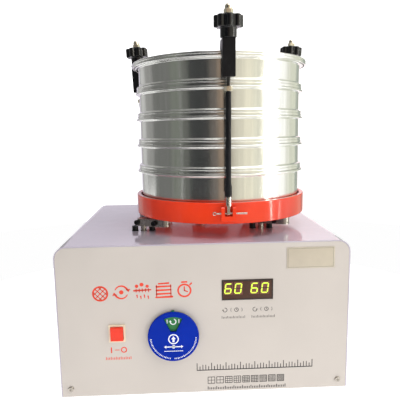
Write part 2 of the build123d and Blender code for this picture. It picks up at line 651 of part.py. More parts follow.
# split cotter pins: two half-round legs bent from one wire, ring eye at the left end
with BuildPart() as cotter_pins:
    for a in ANGLES:
        er = (math.cos(math.radians(a)), math.sin(math.radians(a)), 0)
        et = (er[1], -er[0], 0)
        cp = Plane(origin=(TX + R_PIN * er[0], TY + R_PIN * er[1], S_PIN), x_dir=er, z_dir=et)
        with BuildSketch(cp.offset(-31.0)):
            Circle(1.5)
        extrude(amount=51.0)
        ring = Plane(origin=cp.from_local_coords((0, 0, 22.6)), x_dir=et, z_dir=er)
        with BuildSketch(ring.offset(-1.0)):
            Circle(3.4)
            Circle(1.7, mode=Mode.SUBTRACT)
        extrude(amount=2.0)
save(cotter_pins.part, "cotter_pins")

# ================================================================= pan, sieves, lid


def bead(zc):
    # outline of a rolled bead whose flat top lies at zc, going down the outside
    return [(SR_I, zc), (155.8, zc), (157.4, zc - 0.8), (BEAD_R, zc - 2.2), (157.4, zc - 3.7), (155.4, zc - 4.5), (SR_O, zc - 5.4)]


pan = lathe(bead(CRE0) + [(SR_O, PAN_Z + 3.0), (SR_O - 3.0, PAN_Z), (0, PAN_Z), (0, PAN_Z + 1.0), (SR_O - 3.6, PAN_Z + 1.0), (SR_I, PAN_Z + 3.4)], TX, TY)
save(pan.part, "collecting_pan")

HOLES = [(7.0, 24.0), (6.0, 24.0), (5.0, 24.0), (4.0, 24.0)]
plates = []
for k in range(4):
    zc = CRE0 + PITCH * (3 - k)       # joint under this sieve; sieve 1 is on top
    zt = zc + PITCH
    sieve = lathe(bead(zt) + [
        (SR_O, zc + 11.0), (153.6, zc + 10.0), (SHO_R, zc + 8.2), (SHO_R, zc + 6.8), (154.3, zc + 5.4), (SHO_R, zc + 4.0), (SHO_R, zc + 1.0),
        (154.8, zc), (149.4, zc), (149.4, zc - 11.0), (148.6, zc - 12.0), (148.2, zc - 12.0), (148.2, zc + 1.2), (153.4, zc + 1.2), (153.4, zc + 2.1),
        (SR_I, zc + 2.1)], TX, TY)
    save(sieve.part, "sieve_frame_%d" % (k + 1))
    with BuildPart() as plate:
        with BuildSketch(Plane(origin=(TX, TY, zc + 1.2))):
            Circle(153.3)
            with HexLocations(HOLES[k][1] / 2, 11, 11):
                Circle(HOLES[k][0], mode=Mode.SUBTRACT)
        extrude(amount=0.9)
    plates.append(plate.part)

with BuildPart() as sieve_plates:
    for p in plates:
        add(p)
save(sieve_plates.part, "sieve_plates")

LZ = CRE0 + PITCH * 4
lid = lathe([(0, LZ + 0.4), (146.0, LZ + 0.4), (148.0, LZ + 2.4), (148.0, LZ + 5.4), (160.8, LZ + 5.4), (162.3, LZ + 4.2), (LID_R, LZ + 2.8),
             (161.6, LZ + 1.0), (LID_R, LZ - 0.8), (162.3, LZ - 2.6), (161.0, LZ - 3.6), (159.4, LZ - 3.6), (159.4, LZ + 0.05), (149.2, LZ + 0.05), (149.2, LZ - 4.0),
             (148.0, LZ - 4.0), (147.2, LZ - 0.8), (0, LZ - 0.8)], TX, TY)
save(lid.part, "lid")

# ================================================================= clamps
for n, a in enumerate(ANGLES, 1):
    ra, rl = math.radians(a), math.radians(LEAN)
    er = Vector(math.cos(ra), math.sin(ra), 0)
    up = Vector(0, 0, 1)
    s_dir = up * math.cos(rl) + er * math.sin(rl)       # along the rod
    q_dir = er * math.cos(rl) - up * math.sin(rl)       # outward, square to the rod
    org = Vector(TX, TY, S_PIN) + er * R_PIN
    base = Plane(origin=org, x_dir=q_dir, z_dir=s_dir)  # local: x outward, y tangent, z along the rod

    # eye link: flat eye that tapers into a threaded ferrule
    with BuildPart() as eye_link:
        with BuildSketch(Plane(origin=base.from_local_coords((0, -2.2, 0)), x_dir=q_dir, z_dir=base.y_dir)):
            Circle(3.3)
        extrude(amount=4.4)
        with BuildSketch(base.offset(0.0)):
            Rectangle(5.2, 4.4)
        extrude(amount=9.0)
        with BuildSketch(base.offset(8.0)):
            Rectangle(5.4, 4.4)
        with BuildSketch(base.offset(14.0)):
            Rectangle(6.4, 6.0)
        loft()
        with BuildSketch(base.offset(13.0)):
            Circle(4.7)
        extrude(amount=15.0)
        with BuildSketch(base.offset(15.0)):
            Circle(ROD_R + RUN)
        extrude(amount=20.0, mode=Mode.SUBTRACT)
        with BuildSketch(Plane(origin=base.from_local_coords((0, -5, 0)), x_dir=q_dir, z_dir=base.y_dir)):
            Circle(1.5 + RUN)
        extrude(amount=10.0, mode=Mode.SUBTRACT)
    save(eye_link.part, "eye_link_%d" % n)

    with BuildPart() as rod_sleeve:
        with BuildSketch(base.offset(28.0)):
            Circle(5.6)
        extrude(amount=16.0)
        with BuildSketch(base.offset(44.0)):
            Circle(5.6)
        with BuildSketch(base.offset(50.0)):
            Circle(4.4)
        loft()
        with BuildSketch(base.offset(50.0)):
            Circle(4.4)
        extrude(amount=143.4)
        with BuildSketch(base.offset(20.0)):
            Circle(ROD_R + 0.35)
        extrude(amount=190.0, mode=Mode.SUBTRACT)
    save(rod_sleeve.part, "rod_sleeve_%d" % n)

    # square block with the toe that reaches in over the lid rim
    with BuildPart() as hook_block:
        with BuildSketch(base.offset(BLK0)):
            Rectangle(20.0, 20.0)
        extrude(amount=BLK1 - BLK0)
        with BuildSketch(Plane(origin=base.from_local_coords((0, -10.0, 0)), x_dir=q_dir, z_dir=-base.y_dir)):
            with BuildLine():
                Polyline((-8.0, TOE0), (-35.0, TOE0), (-35.0, TOE0 + 7.0), (-29.0, BLK1), (-8.0, BLK1), close=True)
            make_face()
        extrude(amount=-20.0)
        with BuildSketch(base.offset(BLK0 - 5.0)):
            Circle(ROD_R + 0.5)
        extrude(amount=80.0, mode=Mode.SUBTRACT)
        chamfer(hook_block.faces().sort_by(Axis(base.origin, s_dir))[0].outer_wire().edges(), 0.8)
    save(hook_block.part, "hook_block_%d" % n)

    # rod with its stop nut and the domed nut at its top
    with BuildPart() as clamp_rod:
        with BuildSketch(base.offset(16.0)):
            Circle(ROD_R)
        extrude(amount=ROD_END - 16.0)
    with BuildPart() as stop_nut:
        with BuildSketch(base.offset(194.0)):
            RegularPolygon(5.75, 6, major_radius=False)
            Circle(ROD_R + 0.02, mode=Mode.SUBTRACT)
        extrude(amount=7.6)
    with BuildPart() as cap_nut:
        with BuildSketch(base.offset(306.5)):
            RegularPolygon(6.5, 6, major_radius=False)
        extrude(amount=6.5)
        with BuildSketch(base.offset(313.0)):
            Circle(5.9)
        extrude(amount=2.5)
        with Locations(base.offset(315.5).location):
            Sphere(5.9, arc_size1=0, align=(Align.CENTER, Align.CENTER, Align.MIN))
        with BuildSketch(base.offset(300.0)):
            Circle(ROD_R + 0.02)
        extrude(amount=ROD_END + 0.3 - 300.0, mode=Mode.SUBTRACT)
    with BuildPart() as rod_set:
        add(clamp_rod.part)
        add(stop_nut.part)
        add(cap_nut.part)
    save(rod_set.part, "rod_and_nuts_%d" % n)

    with BuildPart() as star_knob:
        with BuildSketch(base.offset(BLK1 + 0.3)):
            Circle(12.7)
        extrude(amount=KNOB0 - BLK1 - 0.3)
        with BuildSketch(base.offset(KNOB0)):
            Circle(18.6)
            with PolarLocations(KNOB_R - 5.3, 8):
                Circle(5.3)
        extrude(amount=KNOB1 - KNOB0)
        with BuildSketch(base.offset(KNOB1)):
            Circle(7.6)
        extrude(amount=2.0)
        with BuildSketch(base.offset(BLK1 - 5.0)):
            Circle(ROD_R + 0.02)
        extrude(amount=60.0, mode=Mode.SUBTRACT)
    save(star_knob.part, "star_knob_%d" % n)

print("clamp lean", LEAN, "throw", round(THROW, 2), "crank angle", round(ANG, 2))
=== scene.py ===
import bpy
import bmesh
import json
import math
from mathutils import Vector, Matrix


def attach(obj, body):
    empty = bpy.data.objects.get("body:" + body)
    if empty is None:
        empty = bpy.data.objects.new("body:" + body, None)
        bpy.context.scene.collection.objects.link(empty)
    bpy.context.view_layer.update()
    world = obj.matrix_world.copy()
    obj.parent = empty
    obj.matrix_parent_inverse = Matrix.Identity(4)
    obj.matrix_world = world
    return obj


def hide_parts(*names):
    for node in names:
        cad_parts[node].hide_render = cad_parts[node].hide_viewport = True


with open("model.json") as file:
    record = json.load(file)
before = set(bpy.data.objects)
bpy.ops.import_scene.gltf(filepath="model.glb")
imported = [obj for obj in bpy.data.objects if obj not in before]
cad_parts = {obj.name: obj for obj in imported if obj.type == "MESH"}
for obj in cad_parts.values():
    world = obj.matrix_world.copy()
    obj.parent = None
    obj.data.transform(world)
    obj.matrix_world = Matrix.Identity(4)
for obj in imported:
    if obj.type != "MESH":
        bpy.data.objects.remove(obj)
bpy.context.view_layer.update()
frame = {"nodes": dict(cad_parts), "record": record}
NODES = frame["nodes"]
BODY_OF = {n: b for b, ns in frame["record"]["behaviour"]["bodies"].items() for n in ns}
MM = 0.001
SC = bpy.context.scene

# ------------------------------------------------------------------ the part's own sizes, mm
ZT, YF, YB = 266.0, -198.0, 222.0
TX, TY = 42.0, -15.0
CRE0, PITCH = ZT + 108.0, 47.4
PAN_Z = ZT + 42.0
R_PIN, S_PIN, LEAN = 168.0, ZT + 45.0, 3.5
ANGLES = [-90.0, 30.0, 150.0]
SR_O, SR_I, BEAD_R, SHO_R, LID_R = 151.0, 149.8, 158.0, 155.6, 162.7
DISC = (-52.0, 112.4, 42.0)
DISP = (70.6, 187.0, 84.4, 34.6)
SWI = (-144.0, 119.3, 27.0, 29.4)
PLATE = (174.4, 238.0, 78.6, 35.0)


# ================================================================== materials
class Mat:
    """A small wrapper round a Principled material and its node tree."""

    def __init__(self, name, base, rough, metal=0.0, coat=0.0, coat_rough=0.06, spec=0.5, **more):
        self.m = bpy.data.materials.new(name)
        self.m.use_nodes = True
        self.t = self.m.node_tree
        self.t.nodes.clear()
        out = self.t.nodes.new("ShaderNodeOutputMaterial")
        self.b = self.t.nodes.new("ShaderNodeBsdfPrincipled")
        self.t.links.new(self.b.outputs[0], out.inputs["Surface"])
        self.base = base
        self.b.inputs["Base Color"].default_value = (*base, 1)
        self.b.inputs["Roughness"].default_value = rough
        self.b.inputs["Metallic"].default_value = metal
        self.b.inputs["Coat Weight"].default_value = coat
        self.b.inputs["Coat Roughness"].default_value = coat_rough
        self.b.inputs["Specular IOR Level"].default_value = spec
        for k, v in more.items():
            self.b.inputs[k.replace("_", " ")].default_value = v
        tc = self.t.nodes.new("ShaderNodeTexCoord")
        self.co = tc.outputs["Object"]
        self.rough = rough
        self.height = None

    def node(self, kind, inputs=None, **props):
        n = self.t.nodes.new(kind)
        for k, v in props.items():
            setattr(n, k, v)
        for k, v in (inputs or {}).items():
            if isinstance(v, bpy.types.NodeSocket):
                self.t.links.new(v, n.inputs[k])
            else:
                n.inputs[k].default_value = v
        return n

    def math(self, op, a, b=None, c=None, clamp=False):
        ins = {0: a}
        if b is not None:
            ins[1] = b
        if c is not None:
            ins[2] = c
        n = self.node("ShaderNodeMath", ins, operation=op)
        n.use_clamp = clamp
        return n.outputs[0]

    def scaled(self, sx, sy, sz, co=None):
        n = self.node("ShaderNodeVectorMath", {0: co or self.co, 1: (sx, sy, sz)}, operation="MULTIPLY")
        return n.outputs[0]

    def noise(self, scale, detail=3.0, rough=0.5, co=None, distort=0.0):
        n = self.node("ShaderNodeTexNoise", {"Vector": co or self.co, "Scale": scale, "Detail": detail, "Roughness": rough, "Distortion": distort})
        return n.outputs["Fac"]

    def span(self, x, a, b, c, d):
        n = self.node("ShaderNodeMapRange", {0: x, 1: a, 2: b, 3: c, 4: d})
        n.clamp = True
        return n.outputs[0]

    def mix(self, fac, a, b):
        n = self.node("ShaderNodeMix", {"Factor": fac}, data_type="RGBA")
        for i, v in ((6, a), (7, b)):
            if isinstance(v, bpy.types.NodeSocket):
                self.t.links.new(v, n.inputs[i])
            else:
                n.inputs[i].default_value = (*v[:3], 1)
        return n.outputs[2]

    def color(self, sock):
        self.t.links.new(sock, self.b.inputs["Base Color"])

    def roughness(self, sock):
        self.t.links.new(sock, self.b.inputs["Roughness"])

    def bump(self, sock, dist_mm, strength=1.0):
        ins = {"Strength": strength, "Distance": dist_mm * MM, "Height": sock}
        if self.height is not None:
            ins["Normal"] = self.height
        n = self.node("ShaderNodeBump", ins)
        self.height = n.outputs[0]
        self.t.links.new(self.height, self.b.inputs["Normal"])

    def shade(self, k):
        return tuple(min(1.0, c * k) for c in self.base)

    def vary(self, scale, amount, detail=3.0, co=None):
        """Base colour drifts by +-amount over a noise field."""
        f = self.span(self.noise(scale, detail, co=co), 0.3, 0.7, 0.0, 1.0)
        self.color(self.mix(f, self.shade(1 - amount), self.shade(1 + amount)))
        return f

    def around(self, cx=TX, cy=TY):
        """(angle, z, radius) about the vertical axis through (cx, cy)."""
        s = self.node("ShaderNodeSeparateXYZ", {0: self.co})
        x = self.math("SUBTRACT", s.outputs[0], cx * MM)
        y = self.math("SUBTRACT", s.outputs[1], cy * MM)
        ang = self.math("ARCTAN2", y, x)
        rad = self.math("SQRT", self.math("ADD", self.math("MULTIPLY", x, x), self.math("MULTIPLY", y, y)))
        return x, y, ang, s.outputs[2], rad


def powder(name, base, rough=0.3, coat=0.0, peel=0.02, peel_scale=420, vary=0.02, spec=0.5):
    """Sprayed or powder paint: soft orange peel, faint tone drift, fine dust and rub marks in the gloss."""
    m = Mat(name, base, rough, coat=coat, coat_rough=0.08, spec=spec)
    f = m.vary(9.0, vary, 2.0)
    dust = m.span(m.noise(2600, 2, 0.6), 0.62, 0.72, 0.0, 1.0)
    rub = m.span(m.noise(38, 5, 0.65), 0.35, 0.75, -0.05, 0.09)
    m.roughness(m.math("ADD", m.math("MULTIPLY_ADD", dust, 0.05, rough), rub))
    m.bump(m.noise(peel_scale, 2, 0.5), peel)
    m.bump(m.noise(35, 2, 0.5), peel * 3, 0.5)
    return m


M = {}
# casing: glossy lavender-grey paint on the folded cover, warm light grey on the panels
c = powder("casing_paint", (0.50, 0.455, 0.53), 0.13, coat=0.55, peel=0.006, peel_scale=300, vary=0.02, spec=0.8)
M["casing_paint"] = c
c = powder("panel_paint", (0.565, 0.515, 0.470), 0.42, coat=0.0, peel=0.016, peel_scale=700, vary=0.03)
M["panel_paint"] = c
M["panel_rear_paint"] = powder("panel_rear_paint", (0.56, 0.51, 0.475), 0.42, peel=0.016, peel_scale=700, vary=0.03)

# zinc-plated sheet
m = Mat("zinc_plate", (0.60, 0.61, 0.62), 0.36, 1.0)
v = m.node("ShaderNodeTexVoronoi", {"Vector": m.co, "Scale": 60.0})
m.color(m.mix(m.span(v.outputs["Distance"], 0.0, 0.8, 0, 1), m.shade(0.84), m.shade(1.08)))
m.roughness(m.span(m.noise(90, 4), 0.3, 0.7, 0.28, 0.44))
m.bump(m.noise(500, 2), 0.01)
M["zinc_steel"] = m

m = Mat("black_rubber", (0.022, 0.022, 0.022), 0.62, spec=0.35)
m.vary(140, 0.3)
m.bump(m.noise(1500, 3), 0.04)
m.roughness(m.span(m.noise(60, 4), 0.3, 0.7, 0.52, 0.72))
M["rubber"] = m


def metal(name, base, rough, vary=0.06, scale=60, lines=None, bump=0.006, spread=0.08):
    """Turned, ground or plated metal with fine marks."""
    m = Mat(name, base, rough, 1.0)
    m.vary(scale, vary, 4)
    co = m.scaled(*lines) if lines else None
    f = m.noise(1.0 if lines else 300, 4, 0.6, co=co)
    m.roughness(m.span(f, 0.3, 0.7, max(0.04, rough - spread), rough + spread))
    m.bump(f, bump)
    return m


M["nickel"] = metal("nickel_plate", (0.72, 0.70, 0.66), 0.22)
# the nuts: the same nickel plating painted brighter and cream, a painted highlight standing for the warm light on
# their lit side
M["nut_nickel"] = metal("nut_nickel", (0.90, 0.84, 0.70), 0.2, vary=0.08, scale=220)
# the case screws: the same nickel plating painted darker, painted shade standing for the dark surroundings they
# reflect
M["screw_nickel"] = metal("screw_nickel", (0.42, 0.385, 0.34), 0.30, vary=0.2, scale=500)
M["rod_steel"] = metal("rod_steel", (0.085, 0.082, 0.078), 0.34, lines=(30, 30, 2400))
M["bearing_steel"] = metal("bearing_steel", (0.62, 0.62, 0.61), 0.2, lines=(20, 20, 1500))
M["pin_steel"] = metal("pin_steel", (0.50, 0.47, 0.42), 0.26, vary=0.12, lines=(40, 40, 2200))
M["motor_pulley_metal"] = metal("pulley_metal", (0.72, 0.72, 0.73), 0.3, lines=(30, 30, 1800))
M["capacitor_case"] = metal("capacitor_metal", (0.66, 0.66, 0.67), 0.3)
M["plate_metal"] = metal("plate_metal", (0.70, 0.645, 0.575), 0.42, vary=0.03, lines=(30, 1, 2600), bump=0.003)

# black oxide screws and drive crank: dark and oily, with a faint random tone drift
m = Mat("black_oxide", (0.008, 0.008, 0.009), 0.34, 0.2, spec=0.35)
m.vary(260, 0.35, 4)
m.roughness(m.span(m.noise(420, 4), 0.3, 0.7, 0.26, 0.5))
m.bump(m.noise(900, 3), 0.012)
M["black_oxide"] = m

# crank arms: dark phosphated steel, milled faces, bright rubs
m = Mat("crank_steel", (0.36, 0.335, 0.30), 0.28, 1.0)
rub = m.span(m.noise(170, 6, 0.7), 0.56, 0.72, 0.0, 1.0)
mill = m.noise(1.0, 3, 0.5, co=m.scaled(2500, 60, 60))
m.color(m.mix(rub, m.mix(m.noise(50, 3), m.shade(0.8), m.shade(1.15)), (0.50, 0.48, 0.44)))
m.roughness(m.span(mill, 0.3, 0.7, 0.20, 0.36))
m.bump(mill, 0.006)
M["crank_steel"] = m

m = powder("motor_paint", (0.10, 0.105, 0.115), 0.45, peel=0.03)
M["motor_grey"] = m
m = powder("transformer_lacquer", (0.14, 0.10, 0.05), 0.4, peel=0.03)
M["transformer_steel"] = m
m = Mat("board_green", (0.015, 0.11, 0.035), 0.35)
m.vary(200, 0.2)
M["board"] = m

# smoked window over the display
m = Mat("smoked_window", (0.072, 0.034, 0.024), 0.14, coat=0.2, coat_rough=0.04, spec=0.4)
m.vary(40, 0.15)
m.roughness(m.span(m.noise(300, 3), 0.3, 0.7, 0.09, 0.2))
M["smoked_window"] = m

m = Mat("cream_plastic", (0.82, 0.68, 0.50), 0.34, Subsurface_Weight=0.05)
m.vary(70, 0.03)
m.bump(m.noise(1300, 2), 0.008)
m.roughness(m.span(m.noise(120, 3), 0.3, 0.7, 0.28, 0.42))
M["cream_plastic"] = m

m = Mat("red_lens", (0.80, 0.044, 0.020), 0.22, coat=0.1, spec=0.2)
m.b.inputs["Emission Color"].default_value = (0.9, 0.06, 0.03, 1)
m.b.inputs["Emission Strength"].default_value = 0.0
wx = m.node("ShaderNodeTexWave", {"Vector": m.co, "Scale": 130.0}, wave_type="BANDS", bands_direction="X").outputs["Fac"]
wz = m.node("ShaderNodeTexWave", {"Vector": m.co, "Scale": 130.0}, wave_type="BANDS", bands_direction="Z").outputs["Fac"]
m.bump(m.math("MULTIPLY", wx, wz), 0.05)
m.vary(60, 0.06)
M["red_plastic"] = m

m = Mat("status_print", (0.10, 0.11, 0.12), 0.5)
m.vary(80, 0.1)
m.bump(m.noise(900, 2), 0.006)
M["status_print"] = m
m = Mat("blue_plastic", (0.0002, 0.021, 0.33), 0.20, coat=0.0, spec=0.07)
m.vary(30, 0.10)
m.bump(m.noise(120, 2), 0.012)
m.roughness(m.span(m.noise(240, 4, 0.7), 0.35, 0.75, 0.13, 0.28))
M["blue_plastic"] = m

m = Mat("inlet_plastic", (0.016, 0.016, 0.017), 0.42)
m.vary(120, 0.2)
m.bump(m.noise(1400, 2), 0.02)
M["inlet_plastic"] = m

# orange-red stove enamel, thick, with slow waves and a few runs
m = Mat("tray_red", (0.86, 0.046, 0.010), 0.13, coat=0.35, coat_rough=0.04, spec=0.35)
x, y, ang, z, rad = m.around()
wob = m.node("ShaderNodeCombineXYZ", {0: m.math("MULTIPLY", ang, 5.0), 1: m.math("MULTIPLY", z, 12.0), 2: m.math("MULTIPLY", rad, 12.0)}).outputs[0]
runs = m.noise(1.6, 3, 0.55, co=wob)
f = m.span(m.noise(14, 3), 0.3, 0.7, 0, 1)
m.color(m.mix(f, (0.67, 0.031, 0.0065), (0.78, 0.046, 0.010)))
m.bump(runs, 0.9, 0.6)
m.bump(m.noise(260, 2, 0.5), 0.016)
m.roughness(m.span(m.noise(70, 4, 0.6), 0.35, 0.75, 0.10, 0.22))
M["tray_red"] = m

# spun aluminium: circumferential tool marks, drawn streaks up the wall, handling marks
m = Mat("spun_aluminium", (0.80, 0.80, 0.775), 0.20, 1.0, Anisotropic=0.45, Anisotropic_Rotation=0.25)
tg = m.node("ShaderNodeTangent", direction_type="RADIAL", axis="Z")
m.t.links.new(tg.outputs[0], m.b.inputs["Tangent"])
x, y, ang, z, rad = m.around()
turn = m.node("ShaderNodeCombineXYZ", {0: m.math("MULTIPLY", ang, 1.2), 1: m.math("MULTIPLY", z, 1500.0), 2: m.math("MULTIPLY", rad, 1500.0)}).outputs[0]
lines = m.noise(1.0, 4, 0.65, co=turn)
streak = m.noise(1.0, 4, 0.6, co=m.node("ShaderNodeCombineXYZ", {0: m.math("MULTIPLY", ang, 26.0), 1: m.math("MULTIPLY", z, 3.5), 2: 0.0}).outputs[0])
blot = m.noise(16, 5, 0.65)
scr = m.node("ShaderNodeTexNoise", {"Vector": m.node("ShaderNodeCombineXYZ", {0: m.math("MULTIPLY", ang, 7.0), 1: m.math("MULTIPLY", z, 46.0), 2: 3.0}).outputs[0],
                                    "Scale": 2.0, "Detail": 6.0, "Roughness": 0.75, "Distortion": 2.2}).outputs["Fac"]
hair = m.math("SUBTRACT", 1.0, m.span(m.math("ABSOLUTE", m.math("SUBTRACT", scr, 0.5)), 0.0, 0.010, 0.0, 1.0))
hair = m.math("MULTIPLY", hair, m.span(m.noise(9, 3), 0.55, 0.72, 0.0, 1.0))
tone = m.mix(m.span(streak, 0.3, 0.7, 0, 1), (0.765, 0.765, 0.74), (0.85, 0.85, 0.825))
tone = m.mix(m.math("MULTIPLY", m.span(blot, 0.45, 0.8, 0, 1), 0.22), tone, (0.68, 0.68, 0.66))
tone = m.mix(m.math("MULTIPLY", hair, 0.45), tone, (0.30, 0.30, 0.29))
m.color(tone)
r = m.math("MULTIPLY_ADD", m.span(lines, 0.3, 0.7, -1, 1), 0.012, 0.19)
r = m.math("MULTIPLY_ADD", m.span(streak, 0.3, 0.7, -1, 1), 0.012, r)
r = m.math("MULTIPLY_ADD", m.span(blot, 0.5, 0.8, 0, 1), 0.05, r)
m.roughness(r)
m.bump(lines, 0.0006)
m.bump(streak, 0.006, 0.3)
M["spun_aluminium"] = m

m = Mat("perforated_steel", (0.66, 0.66, 0.66), 0.3, 1.0)
m.vary(60, 0.08)
m.bump(m.noise(1.0, 3, co=m.scaled(2500, 60, 60)), 0.005)
M["perforated_steel"] = m

# matt black sleeve, slightly dusty
m = Mat("sleeve_black", (0.006, 0.006, 0.008), 0.5, spec=0.22)
m.color(m.mix(m.span(m.noise(90, 5, 0.7), 0.5, 0.8, 0, 1), (0.005, 0.005, 0.007), (0.014, 0.014, 0.015)))
m.roughness(m.span(m.noise(60, 4), 0.3, 0.7, 0.36, 0.6))
m.bump(m.noise(420, 4, 0.6), 0.06)
m.bump(m.noise(1.0, 2, co=m.scaled(60, 60, 700)), 0.05, 0.5)
M["sleeve_black"] = m

# satin black block: fine cast texture, with faint random lighter patches
m = Mat("block_black", (0.005, 0.005, 0.0065), 0.40, coat=0.0, spec=0.22)
m.color(m.mix(m.span(m.noise(70, 5, 0.7), 0.52, 0.8, 0, 1), (0.0045, 0.0045, 0.006), (0.013, 0.013, 0.014)))
m.bump(m.noise(700, 3), 0.03)
m.roughness(m.span(m.noise(100, 4), 0.3, 0.7, 0.30, 0.5))
M["block_black"] = m

m = Mat("knob_black", (0.004, 0.004, 0.005), 0.10, coat=0.15, coat_rough=0.04, spec=0.45)
m.color(m.mix(m.span(m.noise(80, 5, 0.7), 0.55, 0.8, 0, 1), (0.0035, 0.0035, 0.0045), (0.010, 0.010, 0.011)))
m.roughness(m.span(m.noise(160, 5, 0.7), 0.4, 0.8, 0.07, 0.20))
m.bump(m.noise(240, 2), 0.012)
M["knob_black"] = m

# inks and lights
for key, col, rg in (("ink_red", (0.78, 0.050, 0.018), 0.45), ("ink_black", (0.012, 0.011, 0.012), 0.45), ("ink_white", (0.86, 0.88, 0.92), 0.4),
                     ("ink_green", (0.008, 0.20, 0.040), 0.4), ("ink_yellow", (0.80, 0.52, 0.02), 0.4), ("ink_border", (0.30, 0.27, 0.21), 0.45),
                     ("led_off", (0.060, 0.020, 0.013), 0.3), ("window_edge", (0.020, 0.012, 0.010), 0.3), ("led_face", (0.175, 0.062, 0.040), 0.34)):
    m = Mat(key, col, rg)
    m.vary(420, 0.08)
    m.bump(m.noise(1500, 2), 0.01)
    M[key] = m
m = Mat("led_on", (0.55, 0.80, 0.06), 0.4)
m.vary(500, 0.08)
m.b.inputs["Emission Color"].default_value = (0.62, 0.95, 0.05, 1)
m.b.inputs["Emission Strength"].default_value = 0.85
M["led_on"] = m

SLOT_MAT = {s: s for s in M}
SLOT_MAT["pulley_aluminium"] = "motor_pulley_metal"
for s in frame["record"]["subparts"]:
    key = SLOT_MAT.get(s["material_slot"], s["material_slot"])
    if s["node"] == "rear_panel":
        key = "panel_rear_paint"
    o = NODES[s["node"]]
    o.data.materials.clear()
    o.data.materials.append(M[key].m)
SLOT_OF = {s["node"]: s["material_slot"] for s in frame["record"]["subparts"]}


# ================================================================== mesh helpers
def settle(o, sharp=38.0, wn=True):
    """Smooth shading, sharp only past an angle, with flat faces kept flat beside their rounded edges."""
    me = o.data
    me.polygons.foreach_set("use_smooth", [True] * len(me.polygons))
    me.set_sharp_from_angle(angle=math.radians(sharp))
    if wn:
        w = o.modifiers.new("weighted", "WEIGHTED_NORMAL")
        w.keep_sharp = True
    me.update()
    return o


def put(name, bm, mat, body, sharp=38.0, wn=True, fix=True):
    if fix:
        bmesh.ops.recalc_face_normals(bm, faces=bm.faces[:])
    me = bpy.data.meshes.new(name)
    bm.to_mesh(me)
    bm.free()
    o = bpy.data.objects.new(name, me)
    SC.collection.objects.link(o)
    me.materials.append(M[mat].m)
    settle(o, sharp, wn)
    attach(o, body)
    return o


def cad_bmesh(node):
    bm = bmesh.new()
    bm.from_mesh(NODES[node].data)
    bmesh.ops.remove_doubles(bm, verts=bm.verts[:], dist=2e-6)
    bmesh.ops.dissolve_limit(bm, angle_limit=math.radians(0.6), use_dissolve_boundaries=False, verts=bm.verts[:], edges=bm.edges[:])
    return bm


def round_edges(bm, width, seg=2, angle=32.0):
    bm.edges.ensure_lookup_table()
    edges = [e for e in bm.edges if e.is_manifold and e.calc_face_angle(0) > math.radians(angle) and e.calc_length() > 1e-5]
    if edges and width > 0:
        bmesh.ops.bevel(bm, geom=edges, offset=width * MM, offset_type="OFFSET", segments=seg, profile=0.6, affect="EDGES", clamp_overlap=True, miter_outer="SHARP", harden_normals=False)


def refine(node, width, seg=2, angle=32.0, mat=None, sharp=38.0):
    """The CAD shape with its edges broken as the real piece's are."""
    bm = cad_bmesh(node)
    round_edges(bm, width, seg, angle)
    s = SLOT_OF[node]
    o = put(node + "_v", bm, mat or ("panel_rear_paint" if node == "rear_panel" else SLOT_MAT.get(s, s)), BODY_OF[node], sharp, fix=False)
    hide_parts(node)
    return o


def islands(bm):
    bm.faces.ensure_lookup_table()
    seen, out = set(), []
    for f in bm.faces:
        if f.index in seen:
            continue
        stack, got = [f], []
        seen.add(f.index)
        while stack:
            g = stack.pop()
            got.append(g)
            for e in g.edges:
                for h in e.link_faces:
                    if h.index not in seen:
                        seen.add(h.index)
                        stack.append(h)
        out.append(got)
    return out


def rounded(points, r=0.4, n=3, closed=True):
    """A profile with its corners rounded: each becomes n+1 points on a small curve."""
    out, k = [], len(points)
    for i, p in enumerate(points):
        rr = r
        if len(p) == 3:
            rr = p[2]
        p = Vector(p[:2])
        if not closed and i in (0, k - 1):
            out.append(tuple(p))
            continue
        a, b = Vector(points[i - 1][:2]) - p, Vector(points[(i + 1) % k][:2]) - p
        la, lb = a.length, b.length
        if la < 1e-6 or lb < 1e-6 or rr <= 0:
            out.append(tuple(p))
            continue
        t = min(rr, 0.45 * la, 0.45 * lb)
        q0, q1 = p + a / la * t, p + b / lb * t
        for j in range(n + 1):
            u = j / n
            out.append(tuple(q0 * (1 - u) ** 2 + p * 2 * u * (1 - u) + q1 * u ** 2))
    return out


def lathe_bm(profile, cx, cy, seg=256, closed=True):
    """Solid of revolution from (r, z) points in mm. Points on the axis become one pole each."""
    bm = bmesh.new()
    rings = []
    for r, z in profile:
        if r < 1e-6:
            rings.append([bm.verts.new((cx * MM, cy * MM, z * MM))])
        else:
            rings.append([bm.verts.new(((cx + r * math.cos(2 * math.pi * k / seg)) * MM, (cy + r * math.sin(2 * math.pi * k / seg)) * MM, z * MM)) for k in range(seg)])
    pairs = list(zip(rings, rings[1:] + rings[:1])) if closed else list(zip(rings, rings[1:]))
    for a, b in pairs:
        if len(a) == 1 and len(b) == 1:
            continue
        for k in range(seg):
            k2 = (k + 1) % seg
            if len(a) == 1:
                bm.faces.new((a[0], b[k], b[k2]))
            elif len(b) == 1:
                bm.faces.new((a[k], a[k2], b[0]))
            else:
                bm.faces.new((a[k], a[k2], b[k2], b[k]))
    return bm


def axis_frame(n):
    a, l = math.radians(ANGLES[n - 1]), math.radians(LEAN)
    er, up = Vector((math.cos(a), math.sin(a), 0)), Vector((0, 0, 1))
    s = up * math.cos(l) + er * math.sin(l)
    q = er * math.cos(l) - up * math.sin(l)
    t = s.cross(q)
    o = Vector((TX, TY, S_PIN)) + er * R_PIN
    return o, q, t, s


